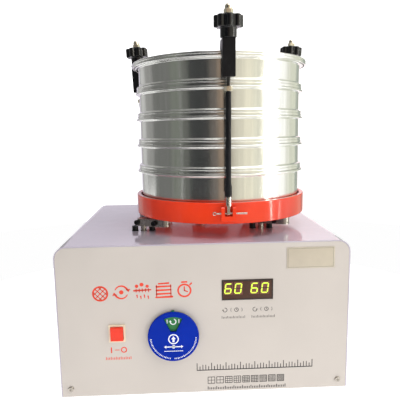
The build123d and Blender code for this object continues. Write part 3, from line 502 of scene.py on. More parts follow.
def turned_bm(rows, seg, frm, twist=0.0):
    """Rows of (s, radius or radius function of angle) along a clamp's rod; closed at both ends by a point on the axis."""
    o, q, t, s = frm
    bm = bmesh.new()
    rings = []
    for h, r in rows:
        f = r if callable(r) else (lambda th, r=r: r)
        if not callable(r) and r < 1e-6:
            rings.append([bm.verts.new((o + s * h) * MM)])
            continue
        ring = []
        for k in range(seg):
            th = 2 * math.pi * k / seg + twist
            rad = f(th)
            ring.append(bm.verts.new((o + s * h + q * (rad * math.cos(th)) + t * (rad * math.sin(th))) * MM))
        rings.append(ring)
    for a, b in zip(rings, rings[1:]):
        for k in range(seg):
            k2 = (k + 1) % seg
            if len(a) == 1:
                bm.faces.new((a[0], b[k], b[k2]))
            elif len(b) == 1:
                bm.faces.new((a[k], a[k2], b[0]))
            else:
                bm.faces.new((a[k], a[k2], b[k2], b[k]))
    return bm


def tube_bm(points, radius, seg=12, closed=False, bm=None):
    """A round wire through points in mm; closed joins its ends."""
    bm = bm or bmesh.new()
    pts = [Vector(p) for p in points]
    k = len(pts)
    rings, prev = [], None
    for i, p in enumerate(pts):
        if closed:
            d = pts[(i + 1) % k] - pts[i - 1]
        else:
            d = pts[min(i + 1, k - 1)] - pts[max(i - 1, 0)]
        d.normalize()
        if prev is None:
            ref = Vector((0, 0, 1)) if abs(d.z) < 0.9 else Vector((1, 0, 0))
            u = d.cross(ref).normalized()
        else:
            u = (prev - d * prev.dot(d)).normalized()
        prev = u
        w = d.cross(u)
        rr = radius(i / (k - 1)) if callable(radius) else radius
        rings.append([bm.verts.new((p + u * (rr * math.cos(2 * math.pi * j / seg)) + w * (rr * math.sin(2 * math.pi * j / seg))) * MM) for j in range(seg)])
    pairs = list(zip(rings, rings[1:] + rings[:1])) if closed else list(zip(rings, rings[1:]))
    for a, b in pairs:
        for j in range(seg):
            bm.faces.new((a[j], a[(j + 1) % seg], b[(j + 1) % seg], b[j]))
    if not closed:
        bm.faces.new(rings[0][::-1])
        bm.faces.new(rings[-1])
    return bm


# ================================================================== flat marks on the panel
def extrude_loops(loops, y0, y1, bm=None):
    """Closed plates: each loop of (x, z) mm points is a prism from y0 to y1."""
    bm = bm or bmesh.new()
    for lp in loops:
        a = [bm.verts.new((x * MM, y0 * MM, z * MM)) for x, z in lp]
        b = [bm.verts.new((x * MM, y1 * MM, z * MM)) for x, z in lp]
        bm.faces.new(a)
        bm.faces.new(b[::-1])
        k = len(lp)
        for i in range(k):
            bm.faces.new((a[i], b[i], b[(i + 1) % k], a[(i + 1) % k]))
    return bm


def stroke(p, q, w0, w1=None, n=5):
    """A brush stroke from p to q: a capsule whose ends may differ in width."""
    w1 = w0 if w1 is None else w1
    a = math.atan2(q[1] - p[1], q[0] - p[0])
    out = []
    for c0, w, s in ((q, w1, -90), (p, w0, 90)):
        for i in range(n + 1):
            t = a + math.radians(s + 180 * i / n)
            out.append((c0[0] + w / 2 * math.cos(t), c0[1] + w / 2 * math.sin(t)))
    return out


def arc_band(cx, cz, r, w, a0, a1, w1=None, n=None):
    """Part of a ring of mid radius r, from a0 to a1 degrees, width w running to w1."""
    w1 = w if w1 is None else w1
    n = n or max(4, int(abs(a1 - a0) / 7))
    outer, inner = [], []
    for i in range(n + 1):
        u = i / n
        t, ww = math.radians(a0 + (a1 - a0) * u), w + (w1 - w) * u
        outer.append((cx + (r + ww / 2) * math.cos(t), cz + (r + ww / 2) * math.sin(t)))
        inner.append((cx + (r - ww / 2) * math.cos(t), cz + (r - ww / 2) * math.sin(t)))
    return outer + inner[::-1]


def ring_loops(cx, cz, r, w):
    return [arc_band(cx, cz, r, w, 0, 180, n=16), arc_band(cx, cz, r, w, 180, 360, n=16)]


def disc_loop(cx, cz, r, n=24):
    return [(cx + r * math.cos(2 * math.pi * i / n), cz + r * math.sin(2 * math.pi * i / n)) for i in range(n)]


def box_loop(x0, z0, x1, z1):
    return [(x0, z0), (x1, z0), (x1, z1), (x0, z1)]


def arrow_head(x, z, ang, size):
    t = math.radians(ang)
    d, s = (math.cos(t), math.sin(t)), (-math.sin(t), math.cos(t))
    return [(x + d[0] * size, z + d[1] * size), (x + s[0] * size * 0.75, z + s[1] * size * 0.75), (x - s[0] * size * 0.75, z - s[1] * size * 0.75)]


def marks(name, loops, mat, body="base", y0=YF + 0.02, y1=YF - 0.12):
    return put(name, extrude_loops(loops, y0, y1), mat, body, sharp=30, wn=False)


# ================================================================== casing
refine("housing_shell", 0.45, 3)
refine("front_panel", 0.35, 2)
refine("rear_panel", 0.35, 2)
refine("base_plate", 0.3, 1)
refine("rubber_feet", 0.8, 3)
# the case screws take the nickel plating painted darker: painted shade
refine("case_screws", 0.18, 2, mat="screw_nickel")
refine("flange_screws", 0.4, 3)
refine("drive_crank", 0.6, 3)
refine("switch_body", 0.45, 3)
refine("power_button", 0.3, 2)
refine("display_window", 0.25, 2)
refine("status_disc_base", 0.3, 2)
refine("status_disc_cover", 0.35, 3)
refine("name_plate", 0.18, 2)
refine("power_inlet", 0.4, 2)
refine("sieve_tray", 0.7, 3)
refine("clamp_lugs", 0.5, 3)
for i in range(1, 5):
    refine("idler_arm_%d" % i, 0.45, 3)
    # the ground pins and the black clamp screws are one node in two finishes
    for part, key in (("pins", "pin_steel"), ("clamp_screws", "black_oxide")):
        bm = cad_bmesh("idler_pins_%d" % i)
        drop = []
        for isl in islands(bm):
            zs = [v.co.z for f in isl for v in f.verts]
            upright = max(zs) - min(zs) > 0.020
            if upright != (part == "pins"):
                drop += isl
        bmesh.ops.delete(bm, geom=drop, context="FACES")
        round_edges(bm, 0.35, 2)
        o = put("idler_%s_%d" % (part, i), bm, key, "idler_%d" % i, fix=False)
        if part == "pins":
            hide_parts("idler_pins_%d" % i)
for i in (1, 2, 3):
    refine("eye_link_%d" % i, 0.35, 2)
    refine("hook_block_%d" % i, 0.9, 3)

# ================================================================== pan, sieves and lid, spun
ZC = [CRE0 + PITCH * k for k in range(5)]


def bead(zc):
    return [(SR_I, zc, 0.3), (155.8, zc, 1.4), (157.5, zc - 0.8, 1.6), (BEAD_R, zc - 2.3, 1.6), (157.5, zc - 3.8, 1.6), (155.4, zc - 4.7, 1.6), (SR_O, zc - 5.4, 1.2)]


pan = bead(ZC[0]) + [(SR_O, PAN_Z + 3.0, 3.0), (SR_O - 3.0, PAN_Z, 3.0), (0, PAN_Z, 0), (0, PAN_Z + 1.0, 0), (SR_O - 3.6, PAN_Z + 1.0, 2.0), (SR_I, PAN_Z + 3.4, 2.0)]
o = put("collecting_pan_v", lathe_bm(rounded(pan), TX, TY), "spun_aluminium", "tray", sharp=60, wn=False)
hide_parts("collecting_pan")
for k in range(4):
    zc = ZC[3 - k]
    prof = bead(zc + PITCH) + [
        (SR_O, zc + 11.2, 1.6), (153.4, zc + 10.2, 1.6), (155.3, zc + 9.2, 1.2), (SHO_R, zc + 7.5, 1.2), (155.2, zc + 6.0, 0.9), (154.2, zc + 5.4, 0.5), (155.2, zc + 4.7, 0.9),
        (SHO_R, zc + 3.0, 1.2), (155.4, zc + 0.9, 0.8), (154.6, zc + 0.02, 0.4), (149.4, zc + 0.02, 0.2), (149.4, zc - 11.0, 0.4), (148.6, zc - 12.0, 0.4), (148.2, zc - 12.0, 0.2),
        (148.2, zc + 1.2, 0.2), (153.4, zc + 1.2, 0.1), (153.4, zc + 2.1, 0.1), (SR_I, zc + 2.1, 0.2)]
    o = put("sieve_wall_%d_v" % (k + 1), lathe_bm(rounded(prof), TX, TY), "spun_aluminium", "tray", sharp=60, wn=False)
    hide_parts("sieve_frame_%d" % (k + 1))
LZ = ZC[4]
lid = [(0, LZ + 0.4, 0), (60.0, LZ + 0.4, 2.0), (62.0, LZ + 1.2, 1.2), (66.0, LZ + 1.2, 1.2), (68.0, LZ + 0.4, 2.0), (118.0, LZ + 0.4, 2.0), (120.0, LZ + 1.2, 1.2), (124.0, LZ + 1.2, 1.2),
       (126.0, LZ + 0.4, 2.0), (146.0, LZ + 0.4, 2.0), (148.0, LZ + 2.4, 1.4), (148.6, LZ + 5.4, 1.4), (160.6, LZ + 5.4, 1.6), (162.2, LZ + 4.4, 1.4), (LID_R, LZ + 2.8, 1.2), (162.3, LZ + 1.6, 0.7),
       (161.6, LZ + 1.0, 0.4), (162.3, LZ + 0.4, 0.7), (LID_R, LZ - 0.8, 1.2), (162.3, LZ - 2.6, 1.2), (161.0, LZ - 3.6, 0.6), (159.4, LZ - 3.6, 0.3), (159.4, LZ + 0.05, 0.3), (149.2, LZ + 0.05, 0.3),
       (149.2, LZ - 4.0, 0.3), (148.0, LZ - 4.0, 0.4), (147.2, LZ - 0.8, 0.6), (0, LZ - 0.8, 0)]
o = put("lid_v", lathe_bm(rounded(lid), TX, TY), "spun_aluminium", "tray", sharp=60, wn=False)
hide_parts("lid")


# ================================================================== clamps
def hexagon(af, clip=None, phase=0.0):
    def f(th):
        a = (th - phase + math.pi / 6) % (math.pi / 3) - math.pi / 6
        r = af / 2 / math.cos(a)
        return r if clip is None else min(r, clip)
    return f


def nut_rows(h0, h1, af, bore, ch=0.55):
    """Closed nut with chamfered hexagon ends, as rows along the rod."""
    rows = [(h0, 0.0), (h0, af * 0.475)]
    for k in range(5):
        u = k / 4
        rows.append((h0 + ch * u, hexagon(af, af * (0.475 + 0.105 * u))))
    for k in range(5):
        u = 1 - k / 4
        rows.append((h1 - ch * u, hexagon(af, af * (0.475 + 0.105 * u))))
    rows += [(h1, af * 0.475), (h1, 0.0)]
    return rows


def star(r_body=18.6, r_mid=17.3, r_lobe=5.3, inset=0.0):
    def f(th):
        a = (th + math.pi / 8) % (math.pi / 4) - math.pi / 8
        s = r_mid * math.sin(a)
        lobe = r_mid * math.cos(a) + math.sqrt(max(0.0, r_lobe ** 2 - s ** 2)) if abs(s) < r_lobe else 0.0
        d = lobe - r_body
        return r_body + (d + math.sqrt(d * d + 0.6)) / 2 - 0.12 - inset
    return f


for n in (1, 2, 3):
    frm = axis_frame(n)
    # rod with a cut thread where it shows, plain inside the sleeve and block
    rows = [(16.0, 0.0), (16.0, 2.6), (16.6, 3.0), (194.0, 3.0)]
    seg = 28
    rows += [(194.0 + 0.125 * k, (lambda th, k=k: 2.98 - 0.42 * abs(((0.125 * k - th / (2 * math.pi)) % 1.0) * 2 - 1))) for k in range(1, 26 * 8)]
    rows += [(220.2, 3.0), (317.4, 3.0), (318.0, 2.5), (318.0, 0.0)]
    o = put("clamp_rod_%d" % n, turned_bm(rows, seg, frm), "rod_steel", "clamp_screw_%d" % n, sharp=50, wn=False)
    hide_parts("rod_and_nuts_%d" % n)
    # stop and cap nuts take the nickel plating painted brighter and cream: a painted highlight
    put("stop_nut_%d" % n, turned_bm(nut_rows(194.0, 201.6, 11.5, 3.0, 0.7), 96, frm, 0.2), "nut_nickel", "clamp_screw_%d" % n, sharp=28)
    # domed nut: hexagon, neck, dome
    rows = nut_rows(306.5, 313.0, 13.0, 3.0, 0.9)[:-1]
    rows += [(313.0, 5.9), (313.6, 5.75), (315.0, 5.75), (315.5, 5.88)]
    rows += [(315.5 + 5.88 * math.sin(math.radians(b)), 5.88 * math.cos(math.radians(b))) for b in range(9, 90, 9)] + [(321.38, 0.0)]
    put("cap_nut_%d" % n, turned_bm(rows, 96, frm, 0.35), "nut_nickel", "clamp_screw_%d" % n, sharp=28)
    # sleeve: shrunk over the ferrule end, a little uneven
    rows = []
    outer = [(28.0, 4.9), (28.4, 5.4), (29.2, 5.6), (33.0, 5.62), (38.0, 5.55), (43.0, 5.6), (45.5, 5.35), (48.0, 4.75), (50.5, 4.42), (60.0, 4.38), (80.0, 4.42), (120.0, 4.36), (160.0, 4.42), (188.0, 4.38), (192.8, 4.38), (193.4, 4.1)]
    fine = []
    for (a0, r0), (a1, r1) in zip(outer, outer[1:]):
        steps = max(1, int((a1 - a0) / 1.2))
        fine += [(a0 + (a1 - a0) * j / steps, r0 + (r1 - r0) * j / steps) for j in range(steps)]
    fine.append(outer[-1])

    def skin(h, r):
        return lambda th: r + (0.10 * math.sin(3.1 * h + 2.0 * math.sin(th + h * 0.21)) * math.exp(-((h - 46) / 7) ** 2) + 0.035 * math.sin(0.37 * h + 2 * th)) * (1 if 30 < h < 192 else 0)
    rows = [(28.0, 0.0)] + [(h, skin(h, r)) for h, r in fine] + [(193.4, 0.0)]
    o = put("rod_sleeve_%d_v" % n, turned_bm(rows, 40, frm), "sleeve_black", "clamp_link_%d" % n, sharp=50, wn=False)
    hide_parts("rod_sleeve_%d" % n)
    # star knob: hub, rounded lobes, dished top, boss
    k0, k1 = 286.5, 304.3
    rows = [(271.9, 0.0), (271.9, 11.9), (272.2, 12.45), (272.9, 12.7), (284.6, 12.7), (285.6, 12.9), (286.3, 13.8), (k0, 15.0)]
    rows += [(k0, star(inset=2.2))]
    rows += [(k0 + 1.7 * (1 - math.cos(math.radians(b))), star(inset=1.7 * (1 - math.sin(math.radians(b))))) for b in (15, 35, 55, 75, 90)]
    rows += [(k0 + 8.9 - 0.12, star(inset=0.0)), (k0 + 8.9, star(inset=-0.05)), (k0 + 8.9 + 0.12, star(inset=0.0))]
    rows += [(k1 - 2.2 * (1 - math.sin(math.radians(b))), star(inset=2.2 * (1 - math.cos(math.radians(b))))) for b in (0, 18, 36, 54, 72, 90)]
    rows += [(k1, 15.2), (k1 - 0.7, 14.0), (k1 - 0.9, 12.5), (k1 - 0.9, 9.0), (k1 - 0.6, 8.0), (k1 + 0.4, 7.6), (k1 + 1.5, 7.5), (k1 + 2.0, 7.0), (k1 + 2.0, 0.0)]
    o = put("star_knob_%d_v" % n, turned_bm(rows, 192, frm), "knob_black", "clamp_screw_%d" % n, sharp=50, wn=False)
    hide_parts("star_knob_%d" % n)
    # split pin: ring eye and two legs side by side, tips spread a little
    a = math.radians(ANGLES[n - 1])
    er, up = Vector((math.cos(a), math.sin(a), 0)), Vector((0, 0, 1))
    et = Vector((er.y, -er.x, 0))
    o0 = Vector((TX, TY, S_PIN)) + er * R_PIN
    bm = bmesh.new()
    tube_bm([o0 + et * (22.6 + 2.55 * math.cos(2 * math.pi * i / 28)) + up * (2.40 * math.sin(2 * math.pi * i / 28)) for i in range(28)], 0.85, 12, True, bm)
    for sgn in (-1, 1):
        pts = []
        for i in range(25):
            u = i / 24
            h = 19.6 - 50.4 * u
            spread = 0.66 + 0.28 * max(0.0, (u - 0.62) / 0.38) ** 1.5
            pts.append(o0 + et * h + up * (sgn * spread * (0.35 if i == 0 else 1)) + er * (0.25 * math.sin(u * 3.0)))
        tube_bm(pts, 0.72, 10, False, bm)
    o = put("cotter_pin_%d" % n, bm, "nickel", "tray", sharp=60, wn=False)
    if n == 1:
        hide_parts("cotter_pins")

# ================================================================== display
seg_on, seg_off, faces = [], [], []
DZ0, DZ1 = 180.4, 198.2


def seg7(x0, x1, z0, z1, lit):
    zm, w, sl = (z0 + z1) / 2, 1.9, 0.14
    g = 0.35

    def sh(p):
        return (p[0] + sl * (p[1] - zm), p[1])

    def h(z):
        a, b = x0 + w / 2 + g, x1 - w / 2 - g
        return [(a, z), (a + w / 2, z + w / 2), (b - w / 2, z + w / 2), (b, z), (b - w / 2, z - w / 2), (a + w / 2, z - w / 2)]

    def v(x, a, b):
        a, b = a + g, b - g
        return [(x, a), (x + w / 2, a + w / 2), (x + w / 2, b - w / 2), (x, b), (x - w / 2, b - w / 2), (x - w / 2, a + w / 2)]
    zt, zb, xl, xr = z1 - w / 2, z0 + w / 2, x0 + w / 2, x1 - w / 2
    shapes = {"a": h(zt), "g": h(zm), "d": h(zb), "f": v(xl, zm, zt), "b": v(xr, zm, zt), "e": v(xl, zb, zm), "c": v(xr, zb, zm)}
    for key, lp in shapes.items():
        (seg_on if key in lit else seg_off).append([sh(p) for p in lp])
    faces.append([(x0 - 1.3 - 0.6, z0 - 1.5), (x1 + 1.3, z0 - 1.5), (x1 + 1.9, z1 + 1.5), (x0 - 0.6, z1 + 1.5)])


seg7(33.2, 44.8, DZ0, DZ1, "acdefg")
seg7(49.6, 61.2, DZ0, DZ1, "abcdef")
seg7(76.4, 88.0, DZ0, DZ1, "acdefg")
seg7(93.6, 105.2, DZ0, DZ1, "abcdef")
WY = YF - 0.9 + 0.5
marks("digit_blocks", faces, "led_face", y0=WY + 0.05, y1=WY - 0.04)
marks("digit_segments_dark", seg_off, "led_off", y0=WY, y1=WY - 0.08)
marks("digit_segments_lit", seg_on, "led_on", y0=WY, y1=WY - 0.12)

bx, bz, bw, bh = DISP
frame_loops = [box_loop(bx - bw / 2 + 0.3, bz + bh / 2 - 2.2, bx + bw / 2 - 0.3, bz + bh / 2 - 0.3), box_loop(bx - bw / 2 + 0.3, bz - bh / 2 + 0.3, bx + bw / 2 - 0.3, bz - bh / 2 + 2.2),
               box_loop(bx - bw / 2 + 0.3, bz - bh / 2 + 2.2, bx - bw / 2 + 2.2, bz + bh / 2 - 2.2), box_loop(bx + bw / 2 - 2.2, bz - bh / 2 + 2.2, bx + bw / 2 - 0.3, bz + bh / 2 - 2.2)]
marks("window_border", frame_loops, "window_edge", y0=YF - 0.88, y1=YF - 0.95)

# ================================================================== printed marks, generic pictograms only
red = []
cx, cz = -168.5, 187.0
# a round sieve seen from above: rim and a slanted mesh
red += ring_loops(cx, cz, 11.6, 2.8)
for k in (-6.0, 0.0, 6.0):
    hl = math.sqrt(10.4 ** 2 - k ** 2)
    c45 = math.sqrt(0.5)
    red += [stroke((cx + (k - hl) * c45, cz + (k + hl) * c45), (cx + (k + hl) * c45, cz + (k - hl) * c45), 1.5), stroke((cx + (k - hl) * c45, cz - (k + hl) * c45), (cx + (k + hl) * c45, cz - (k - hl) * c45), 1.5)]
# orbit: two chasing arrows round a hub
cx, cz = -134.5, 188.5
red += [arc_band(cx, cz, 10.5, 3.2, 20, 158, 1.6), arc_band(cx, cz, 10.5, 3.2, 200, 338, 1.6), arrow_head(cx + 10.9, cz + 5.0, -80, 5.2), arrow_head(cx - 10.9, cz - 5.0, 100, 5.2), disc_loop(cx, cz, 3.6)]
# grains falling through a mesh
cx, cz = -100.5, 189.0
red += [disc_loop(cx - 9, cz + 9, 2.9, 14), disc_loop(cx - 1, cz + 11.5, 3.3, 14), disc_loop(cx + 8, cz + 8.5, 2.7, 14), stroke((cx - 13.5, cz + 1.5), (cx + 13.5, cz + 2.5), 2.8, 2.2)]
red += [stroke((cx - 10 + 5 * k, cz + 4.5), (cx - 10 + 5 * k, cz - 1.0), 1.5) for k in range(5)]
red += [stroke((cx - 9 + 6 * k, cz - 6.0 - 2.0 * (k % 2)), (cx - 9 + 6 * k + 0.6, cz - 10.5 - 2.0 * (k % 2)), 2.2, 1.4) for k in range(4)]
# a stack of sieves under a lid
cx, cz = -66.0, 189.5
red += [stroke((cx - 8, cz + 11.5), (cx + 8, cz + 12.3), 2.4, 2.8)] + [stroke((cx - 11.5, cz + 6.5 - 6.2 * k), (cx + 11.5, cz + 7.2 - 6.2 * k), 3.2, 2.4) for k in range(3)]
red += [stroke((cx - 12.8, cz - 11.5), (cx + 13.5, cz - 10.8), 2.4, 3.4), stroke((cx - 11.6, cz + 9), (cx - 11.6, cz - 10), 1.6), stroke((cx + 11.6, cz + 9.5), (cx + 11.6, cz - 10), 1.6)]
# a timer
cx, cz = -32.5, 190.0
red += ring_loops(cx, cz - 1.5, 10.2, 2.8) + [stroke((cx, cz - 1.5), (cx, cz + 5), 2.0), stroke((cx, cz - 1.5), (cx + 5.0, cz - 3.5), 2.0), stroke((cx - 4, cz + 12.6), (cx + 4, cz + 12.9), 2.6), stroke((cx + 9.2, cz + 8.2), (cx + 11.8, cz + 10.6), 2.4)]
# I and O, and a rule, under the switch
red += [stroke((-154.5, 94.0), (-154.5, 85.5), 2.0)] + ring_loops(-134.0, 89.8, 4.2, 1.7)
red += [stroke((-148.5, 89.8), (-141.5, 89.8), 1.3)]
red += [stroke((-163.5 + 2.7 * k, 73.4), (-163.5 + 2.7 * k, 76.6 if k % 3 else 77.6), 1.15) for k in range(16)]
marks("panel_marks_red", red, "ink_red")

black = []
for cx, d in ((46.5, 1), (96.0, -1)):
    # time with turning direction: an arrowed ring, then a small clock in brackets
    a0, a1 = (100, -190) if d > 0 else (80, 370)
    black += [arc_band(cx - 13.0, 152.8, 3.4, 0.95, a0, a1, 0.95, 20), arrow_head(cx - 13.0 + (-3.3 if d > 0 else 3.3), 152.2, 80 if d > 0 else 100, 2.0)]
    black += [arc_band(cx + 3.0, 152.8, 6.4, 0.7, 150, 210), arc_band(cx + 9.0, 152.8, 6.4, 0.7, -30, 30)]
    black += ring_loops(cx + 6.0, 152.8, 3.2, 0.8) + [stroke((cx + 6, 152.8), (cx + 6, 155.0), 0.7), stroke((cx + 6, 152.8), (cx + 7.7, 152.0), 0.7)]
    black += [stroke((cx - 18.0 + 2.35 * k, 138.4), (cx - 18.0 + 2.35 * k, 141.0 if k % 4 else 142.2), 0.75) for k in range(17)]
# a plain graduated scale
black += [stroke((-14.0, 48.6), (180.0, 48.6), 1.5)]
black += [stroke((-14.0 + 4.85 * k, 48.8), (-14.0 + 4.85 * k, 48.6 + (12.2 if k % 5 == 0 else (9.0 if k % 5 in (2, 3) else 6.4))), 1.25) for k in range(41)]
# mesh sizes from coarse to fine
for k in range(9):
    x0, z0, s = 4.0 + 14.6 * k, 24.4, 11.4
    black += [stroke((x0, z0), (x0 + s, z0), 1.0), stroke((x0, z0 + s), (x0 + s, z0 + s), 1.0), stroke((x0, z0), (x0, z0 + s), 1.0), stroke((x0 + s, z0), (x0 + s, z0 + s), 1.0)]
    g = (1, 1, 2, 2, 3, 3, 4, 4, 5)[k]
    for j in range(1, g + 1):
        u = s * j / (g + 1)
        black += [stroke((x0 + u, z0), (x0 + u, z0 + s), 0.75 if g < 4 else 0.55), stroke((x0, z0 + u), (x0 + s, z0 + u), 0.75 if g < 4 else 0.55)]
black += [stroke((4.0 + 2.9 * k, 13.9), (4.0 + 2.9 * k, 16.6 if k % 5 else 18.4), 1.35) for k in range(46)]
marks("panel_marks_black", black, "ink_black")

# border line of the blank plate
px, pz, pw, ph = PLATE
e = 1.6
brd = [box_loop(px - pw / 2 + e, pz + ph / 2 - e - 0.6, px + pw / 2 - e, pz + ph / 2 - e), box_loop(px - pw / 2 + e, pz - ph / 2 + e, px + pw / 2 - e, pz - ph / 2 + e + 0.6),
       box_loop(px - pw / 2 + e, pz - ph / 2 + e, px - pw / 2 + e + 0.6, pz + ph / 2 - e), box_loop(px + pw / 2 - e - 0.6, pz - ph / 2 + e, px + pw / 2 - e, pz + ph / 2 - e)]
marks("plate_border", brd, "ink_border", y0=YF - 0.78, y1=YF - 0.86)

# status disc: white ring with an arrow, plain marks below, ticks round the rim
dx, dz, dr = DISC
yc = YF - 8.0
wht = ring_loops(dx, dz - 3.4, 7.8, 1.7) + [arrow_head(dx, dz - 3.4, 90, 5.0), box_loop(dx - 1.7, dz - 8.6, dx + 1.7, dz - 3.2)]
wht += [arrow_head(dx - 12.0, dz - 16.6, 180, 3.6), arrow_head(dx + 12.0, dz - 16.6, 0, 3.6), stroke((dx - 11.5, dz - 16.6), (dx + 11.5, dz - 16.6), 1.7), disc_loop(dx, dz - 16.6, 2.9, 18)]
wht += [stroke((dx - 15.0 + 3.1 * k, dz - 24.0), (dx - 13.2 + 3.1 * k, dz - 24.0), 1.1) for k in range(10)]
wht += [arc_band(dx, dz, 37.0, 2.0 if k % 4 else 3.0, a, a + 1.7, n=2) for k, a in enumerate(range(184, 357, 4)) if not 262 < a < 272]
marks("status_marks", wht, "ink_white", body="status_cover", y0=yc + 0.03, y1=yc - 0.10)
# a turned groove round the cover's face, drawn as a slim raised rim
marks("status_rim", [arc_band(dx, dz, 40.4, 0.5, 0, 180, n=48), arc_band(dx, dz, 40.4, 0.5, 180, 360, n=48)], "blue_plastic", body="status_cover", y0=yc + 0.03, y1=yc - 0.06)
yb = YF - 3.0
for key, a0, a1, nm in (("ink_green", 60, 120, "run"), ("ink_yellow", 150, 210, "wait"), ("ink_red", 240, 300, "stop"), ("ink_white", 330, 390, "idle")):
    marks("status_field_" + nm, [arc_band(dx, dz, 22.0, 25.4, a0, a1, n=18)], key, y0=yb + 0.03, y1=yb - 0.10)
gl = [arc_band(dx, dz + 24.6, 4.6, 1.7, 70, -180, 1.7, 18), arrow_head(dx - 4.6, dz + 24.2, 82, 3.0), stroke((dx + 9.5, dz + 28.0), (dx + 9.5, dz + 22.5), 1.6), stroke((dx - 9.8, dz + 28.0), (dx - 9.8, dz + 22.5), 1.6)]
marks("status_run_mark", gl, "ink_white", y0=yb + 0.0, y1=yb - 0.16)
marks("status_tab", [box_loop(dx - 2.4, dz + 40.6, dx + 2.4, dz + 43.8)], "ink_green", y0=yb + 0.03, y1=yb - 0.25)

# ================================================================== camera
yaw, pitch, roll = math.radians(2.40), math.radians(8.49), math.radians(-0.93)
cyw, syw, cp, sp = math.cos(yaw), math.sin(yaw), math.cos(pitch), math.sin(pitch)
fwd = Vector((syw * cp, cyw * cp, -sp))
right = Vector((cyw, -syw, 0))
up = right.cross(fwd)
R = math.cos(roll) * right + math.sin(roll) * up
U = -math.sin(roll) * right + math.cos(roll) * up
cam = bpy.data.objects.new("camera", bpy.data.cameras.new("camera"))
cam.data.sensor_width = 36.0
cam.data.lens = 41.589
cam.data.clip_start, cam.data.clip_end = 0.02, 60
rot = Matrix((R, U, -fwd)).transposed()
cam.matrix_world = Matrix.Translation(Vector((-34.92, -920.12, 444.47)) * MM) @ rot.to_4x4()
SC.collection.objects.link(cam)
SC.camera = cam

# ================================================================== studio
def stage_mat(name, col, rough=0.9, glow=0.0):
    m = Mat(name, col, rough, spec=0.2)
    m.vary(3.0, 0.01)
    if glow:
        m.b.inputs["Emission Color"].default_value = (*col, 1)
        m.b.inputs["Emission Strength"].default_value = glow
    M[name] = m
    return m


def stage_object(name, bm, mat):
    me = bpy.data.meshes.new(name)
    bm.to_mesh(me)
    bm.free()
    me.materials.append(mat.m)
    me.polygons.foreach_set("use_smooth", [True] * len(me.polygons))
    o = bpy.data.objects.new(name, me)
    SC.collection.objects.link(o)
    return o


# a wide pale floor, and a plain white backdrop far behind it on all sides
floor = stage_object("floor", lathe_bm([(0.0, -0.2), (1500.0, -0.2), (19000.0, -0.2)], 0.0, 0.0, 64, closed=False), stage_mat("floor_pale", (0.62, 0.62, 0.62), glow=1.60))
backdrop = stage_object("backdrop", lathe_bm([(19500.0, -1500.0), (19500.0, 14000.0), (12000.0, 19000.0), (0.0, 20500.0)], 0.0, 0.0, 64, closed=False), stage_mat("backdrop_white", (1.0, 1.0, 1.0), glow=1.0))
backdrop.visible_diffuse = backdrop.visible_glossy = backdrop.visible_shadow = backdrop.visible_transmission = False


def area(name, loc, aim, sx, sy, power, col=(1, 1, 1), glossy=True, spread=180):
    l = bpy.data.lights.new(name, "AREA")
    l.shape = "RECTANGLE"
    l.size, l.size_y = sx, sy
    l.energy = power
    l.color = col
    l.spread = math.radians(spread)
    o = bpy.data.objects.new(name, l)
    o.location = loc
    o.rotation_mode = "QUATERNION"
    o.rotation_quaternion = (Vector(aim) - Vector(loc)).to_track_quat("-Z", "Y")
    o.visible_camera = False
    o.visible_glossy = glossy
    SC.collection.objects.link(o)
    return o


def card(name, a0, a1, r, z0, z1, col, glow=1.0, flat=None):
    """A curved reflector panel round the set, from azimuth a0 to a1 (0 is the front, + to the right). It shows only in reflections."""
    m = Mat(name, (0.0, 0.0, 0.0), 1.0, spec=0.0)
    m.b.inputs["Emission Color"].default_value = (*col, 1)
    m.b.inputs["Emission Strength"].default_value = glow
    bm = bmesh.new()
    k = max(2, int((a1 - a0) / 5))
    cols = []
    for i in range(k + 1):
        a = math.radians(a0 + (a1 - a0) * i / k)
        d = Vector((math.sin(a), -math.cos(a), 0))
        c0 = Vector((TX * MM, TY * MM, 0))
        if flat is None:
            p, q = c0 + d * r + Vector((0, 0, z0)), c0 + d * r + Vector((0, 0, z1))
        else:
            p, q = c0 + d * flat + Vector((0, 0, z0)), c0 + d * r + Vector((0, 0, z0))
        cols.append((bm.verts.new(p), bm.verts.new(q)))
    for (a, b), (c2, d2) in zip(cols, cols[1:]):
        bm.faces.new((a, c2, d2, b))
    o = stage_object(name, bm, m)
    o.visible_camera = o.visible_diffuse = o.visible_shadow = o.visible_transmission = o.visible_volume_scatter = False
    return o


area("top_soft", (0.65, -0.25, 2.15), (0.0, 0.0, 0.3), 2.0, 2.0, 25, (1.0, 0.985, 0.975))
area("key_right", (1.9, -1.25, 1.25), (0.0, 0.0, 0.35), 1.3, 1.8, 16, (1.0, 0.985, 0.96))
area("fill_left", (-1.9, -1.1, 1.1), (0.0, 0.0, 0.3), 1.3, 1.6, 4, (0.97, 0.98, 1.0))
area("front_low", (0.5, -2.3, 0.45), (0.0, 0.0, 0.28), 2.4, 0.7, 7.5, (1.0, 0.98, 0.96), glossy=False)
area("back_soft", (0.0, 2.3, 1.6), (0.0, 0.0, 0.3), 2.4, 1.4, 10, (0.98, 0.99, 1.0))
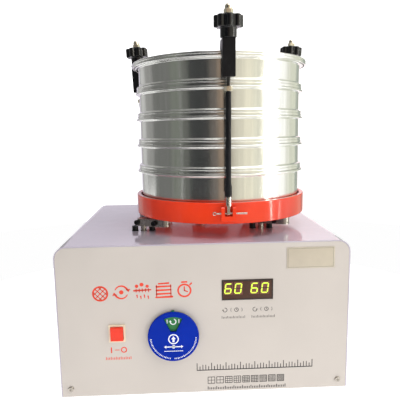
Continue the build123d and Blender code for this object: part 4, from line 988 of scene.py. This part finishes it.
# reflector panels that give the bright metal something to show: dark to the front left, light to the right
PANELS = [
    ("panel_left_rear", -152, -146, 1.70, (0.30, 0.30, 0.30)),
    ("panel_left_light", -146, -128, 1.70, (0.60, 0.60, 0.59)),
    ("panel_left_mid", -128, -106, 1.70, (0.33, 0.33, 0.32)),
    ("panel_left", -106, -72, 1.70, (0.175, 0.178, 0.170)),
    ("strip_green", -72, -57, 1.70, (0.19, 0.205, 0.175)),
    ("panel_grey", -56, -45, 1.70, (0.145, 0.15, 0.135)),
    ("panel_dark", -45, -17, 1.70, (0.045, 0.047, 0.047)),
    ("strip_brown", -17, -6, 1.70, (0.145, 0.130, 0.117)),
    ("strip_brown_2", -6, 8, 1.70, (0.33, 0.245, 0.18)),
    ("panel_tan", 8, 16, 1.70, (0.56, 0.52, 0.43)),
    ("panel_cream", 16, 28, 1.70, (0.80, 0.76, 0.62)),
    ("panel_cream_2", 28, 41, 1.70, (0.96, 0.91, 0.73)),
    ("panel_cream_3", 41, 56, 1.70, (0.84, 0.82, 0.67)),
    ("panel_cream_4", 56, 66, 1.70, (0.95, 0.94, 0.84)),
    ("panel_white", 66, 98, 1.70, (1.20, 1.20, 1.16)),
    ("panel_cream_5", 98, 108, 1.70, (0.90, 0.90, 0.80)),
    ("strip_window", 62.0, 64.5, 1.66, (22.0, 21.0, 19.0)),
    ("strip_window_2", 76.0, 77.0, 1.66, (14.0, 14.0, 13.0)),
    ("panel_pale", 108, 130, 1.70, (0.78, 0.80, 0.66)),
    ("panel_green", 130, 150, 1.70, (0.40, 0.44, 0.385)),
    ("panel_rear_right", 150, 169, 1.70, (1.20, 1.06, 1.08)),
    ("panel_rear", 169, 208, 1.70, (0.74, 0.69, 0.78)),
]
card("panel_all", -180, 180, 1.80, -0.02, 2.3, (0.45, 0.45, 0.46))
for nm, a0, a1, rr, col in PANELS:
    card(nm, a0, a1, rr, -0.02, 2.3, col)
    # the same tone carried on along the floor, so that the low walls reflect it too
    if a1 < 140 and a0 > -110:
        card(nm + "_floor", a0, a1, rr, 0.002 + 0.05 * (1.80 - rr), 0, col, flat=0.60)
# light thrown back up under the tray by the glossy cover
area("strip_fill", (0.03, -0.218, 0.42), (0.03, -0.2181, 0.0), 0.36, 0.04, 0.12, (1.0, 0.98, 0.97), glossy=False)
area("under_bounce", (0.02, -0.03, 0.2668), (0.02, -0.03, 1.0), 0.27, 0.22, 0.085, glossy=False)

w = bpy.data.worlds.new("studio")
SC.world = w
w.use_nodes = True
w.node_tree.nodes["Background"].inputs[0].default_value = (1.0, 1.0, 1.0, 1)
w.node_tree.nodes["Background"].inputs[1].default_value = 0.35
SC.view_settings.view_transform = "Standard"
SC.view_settings.look = "None"
SC.view_settings.exposure = 0.0
SC.view_settings.gamma = 1.0
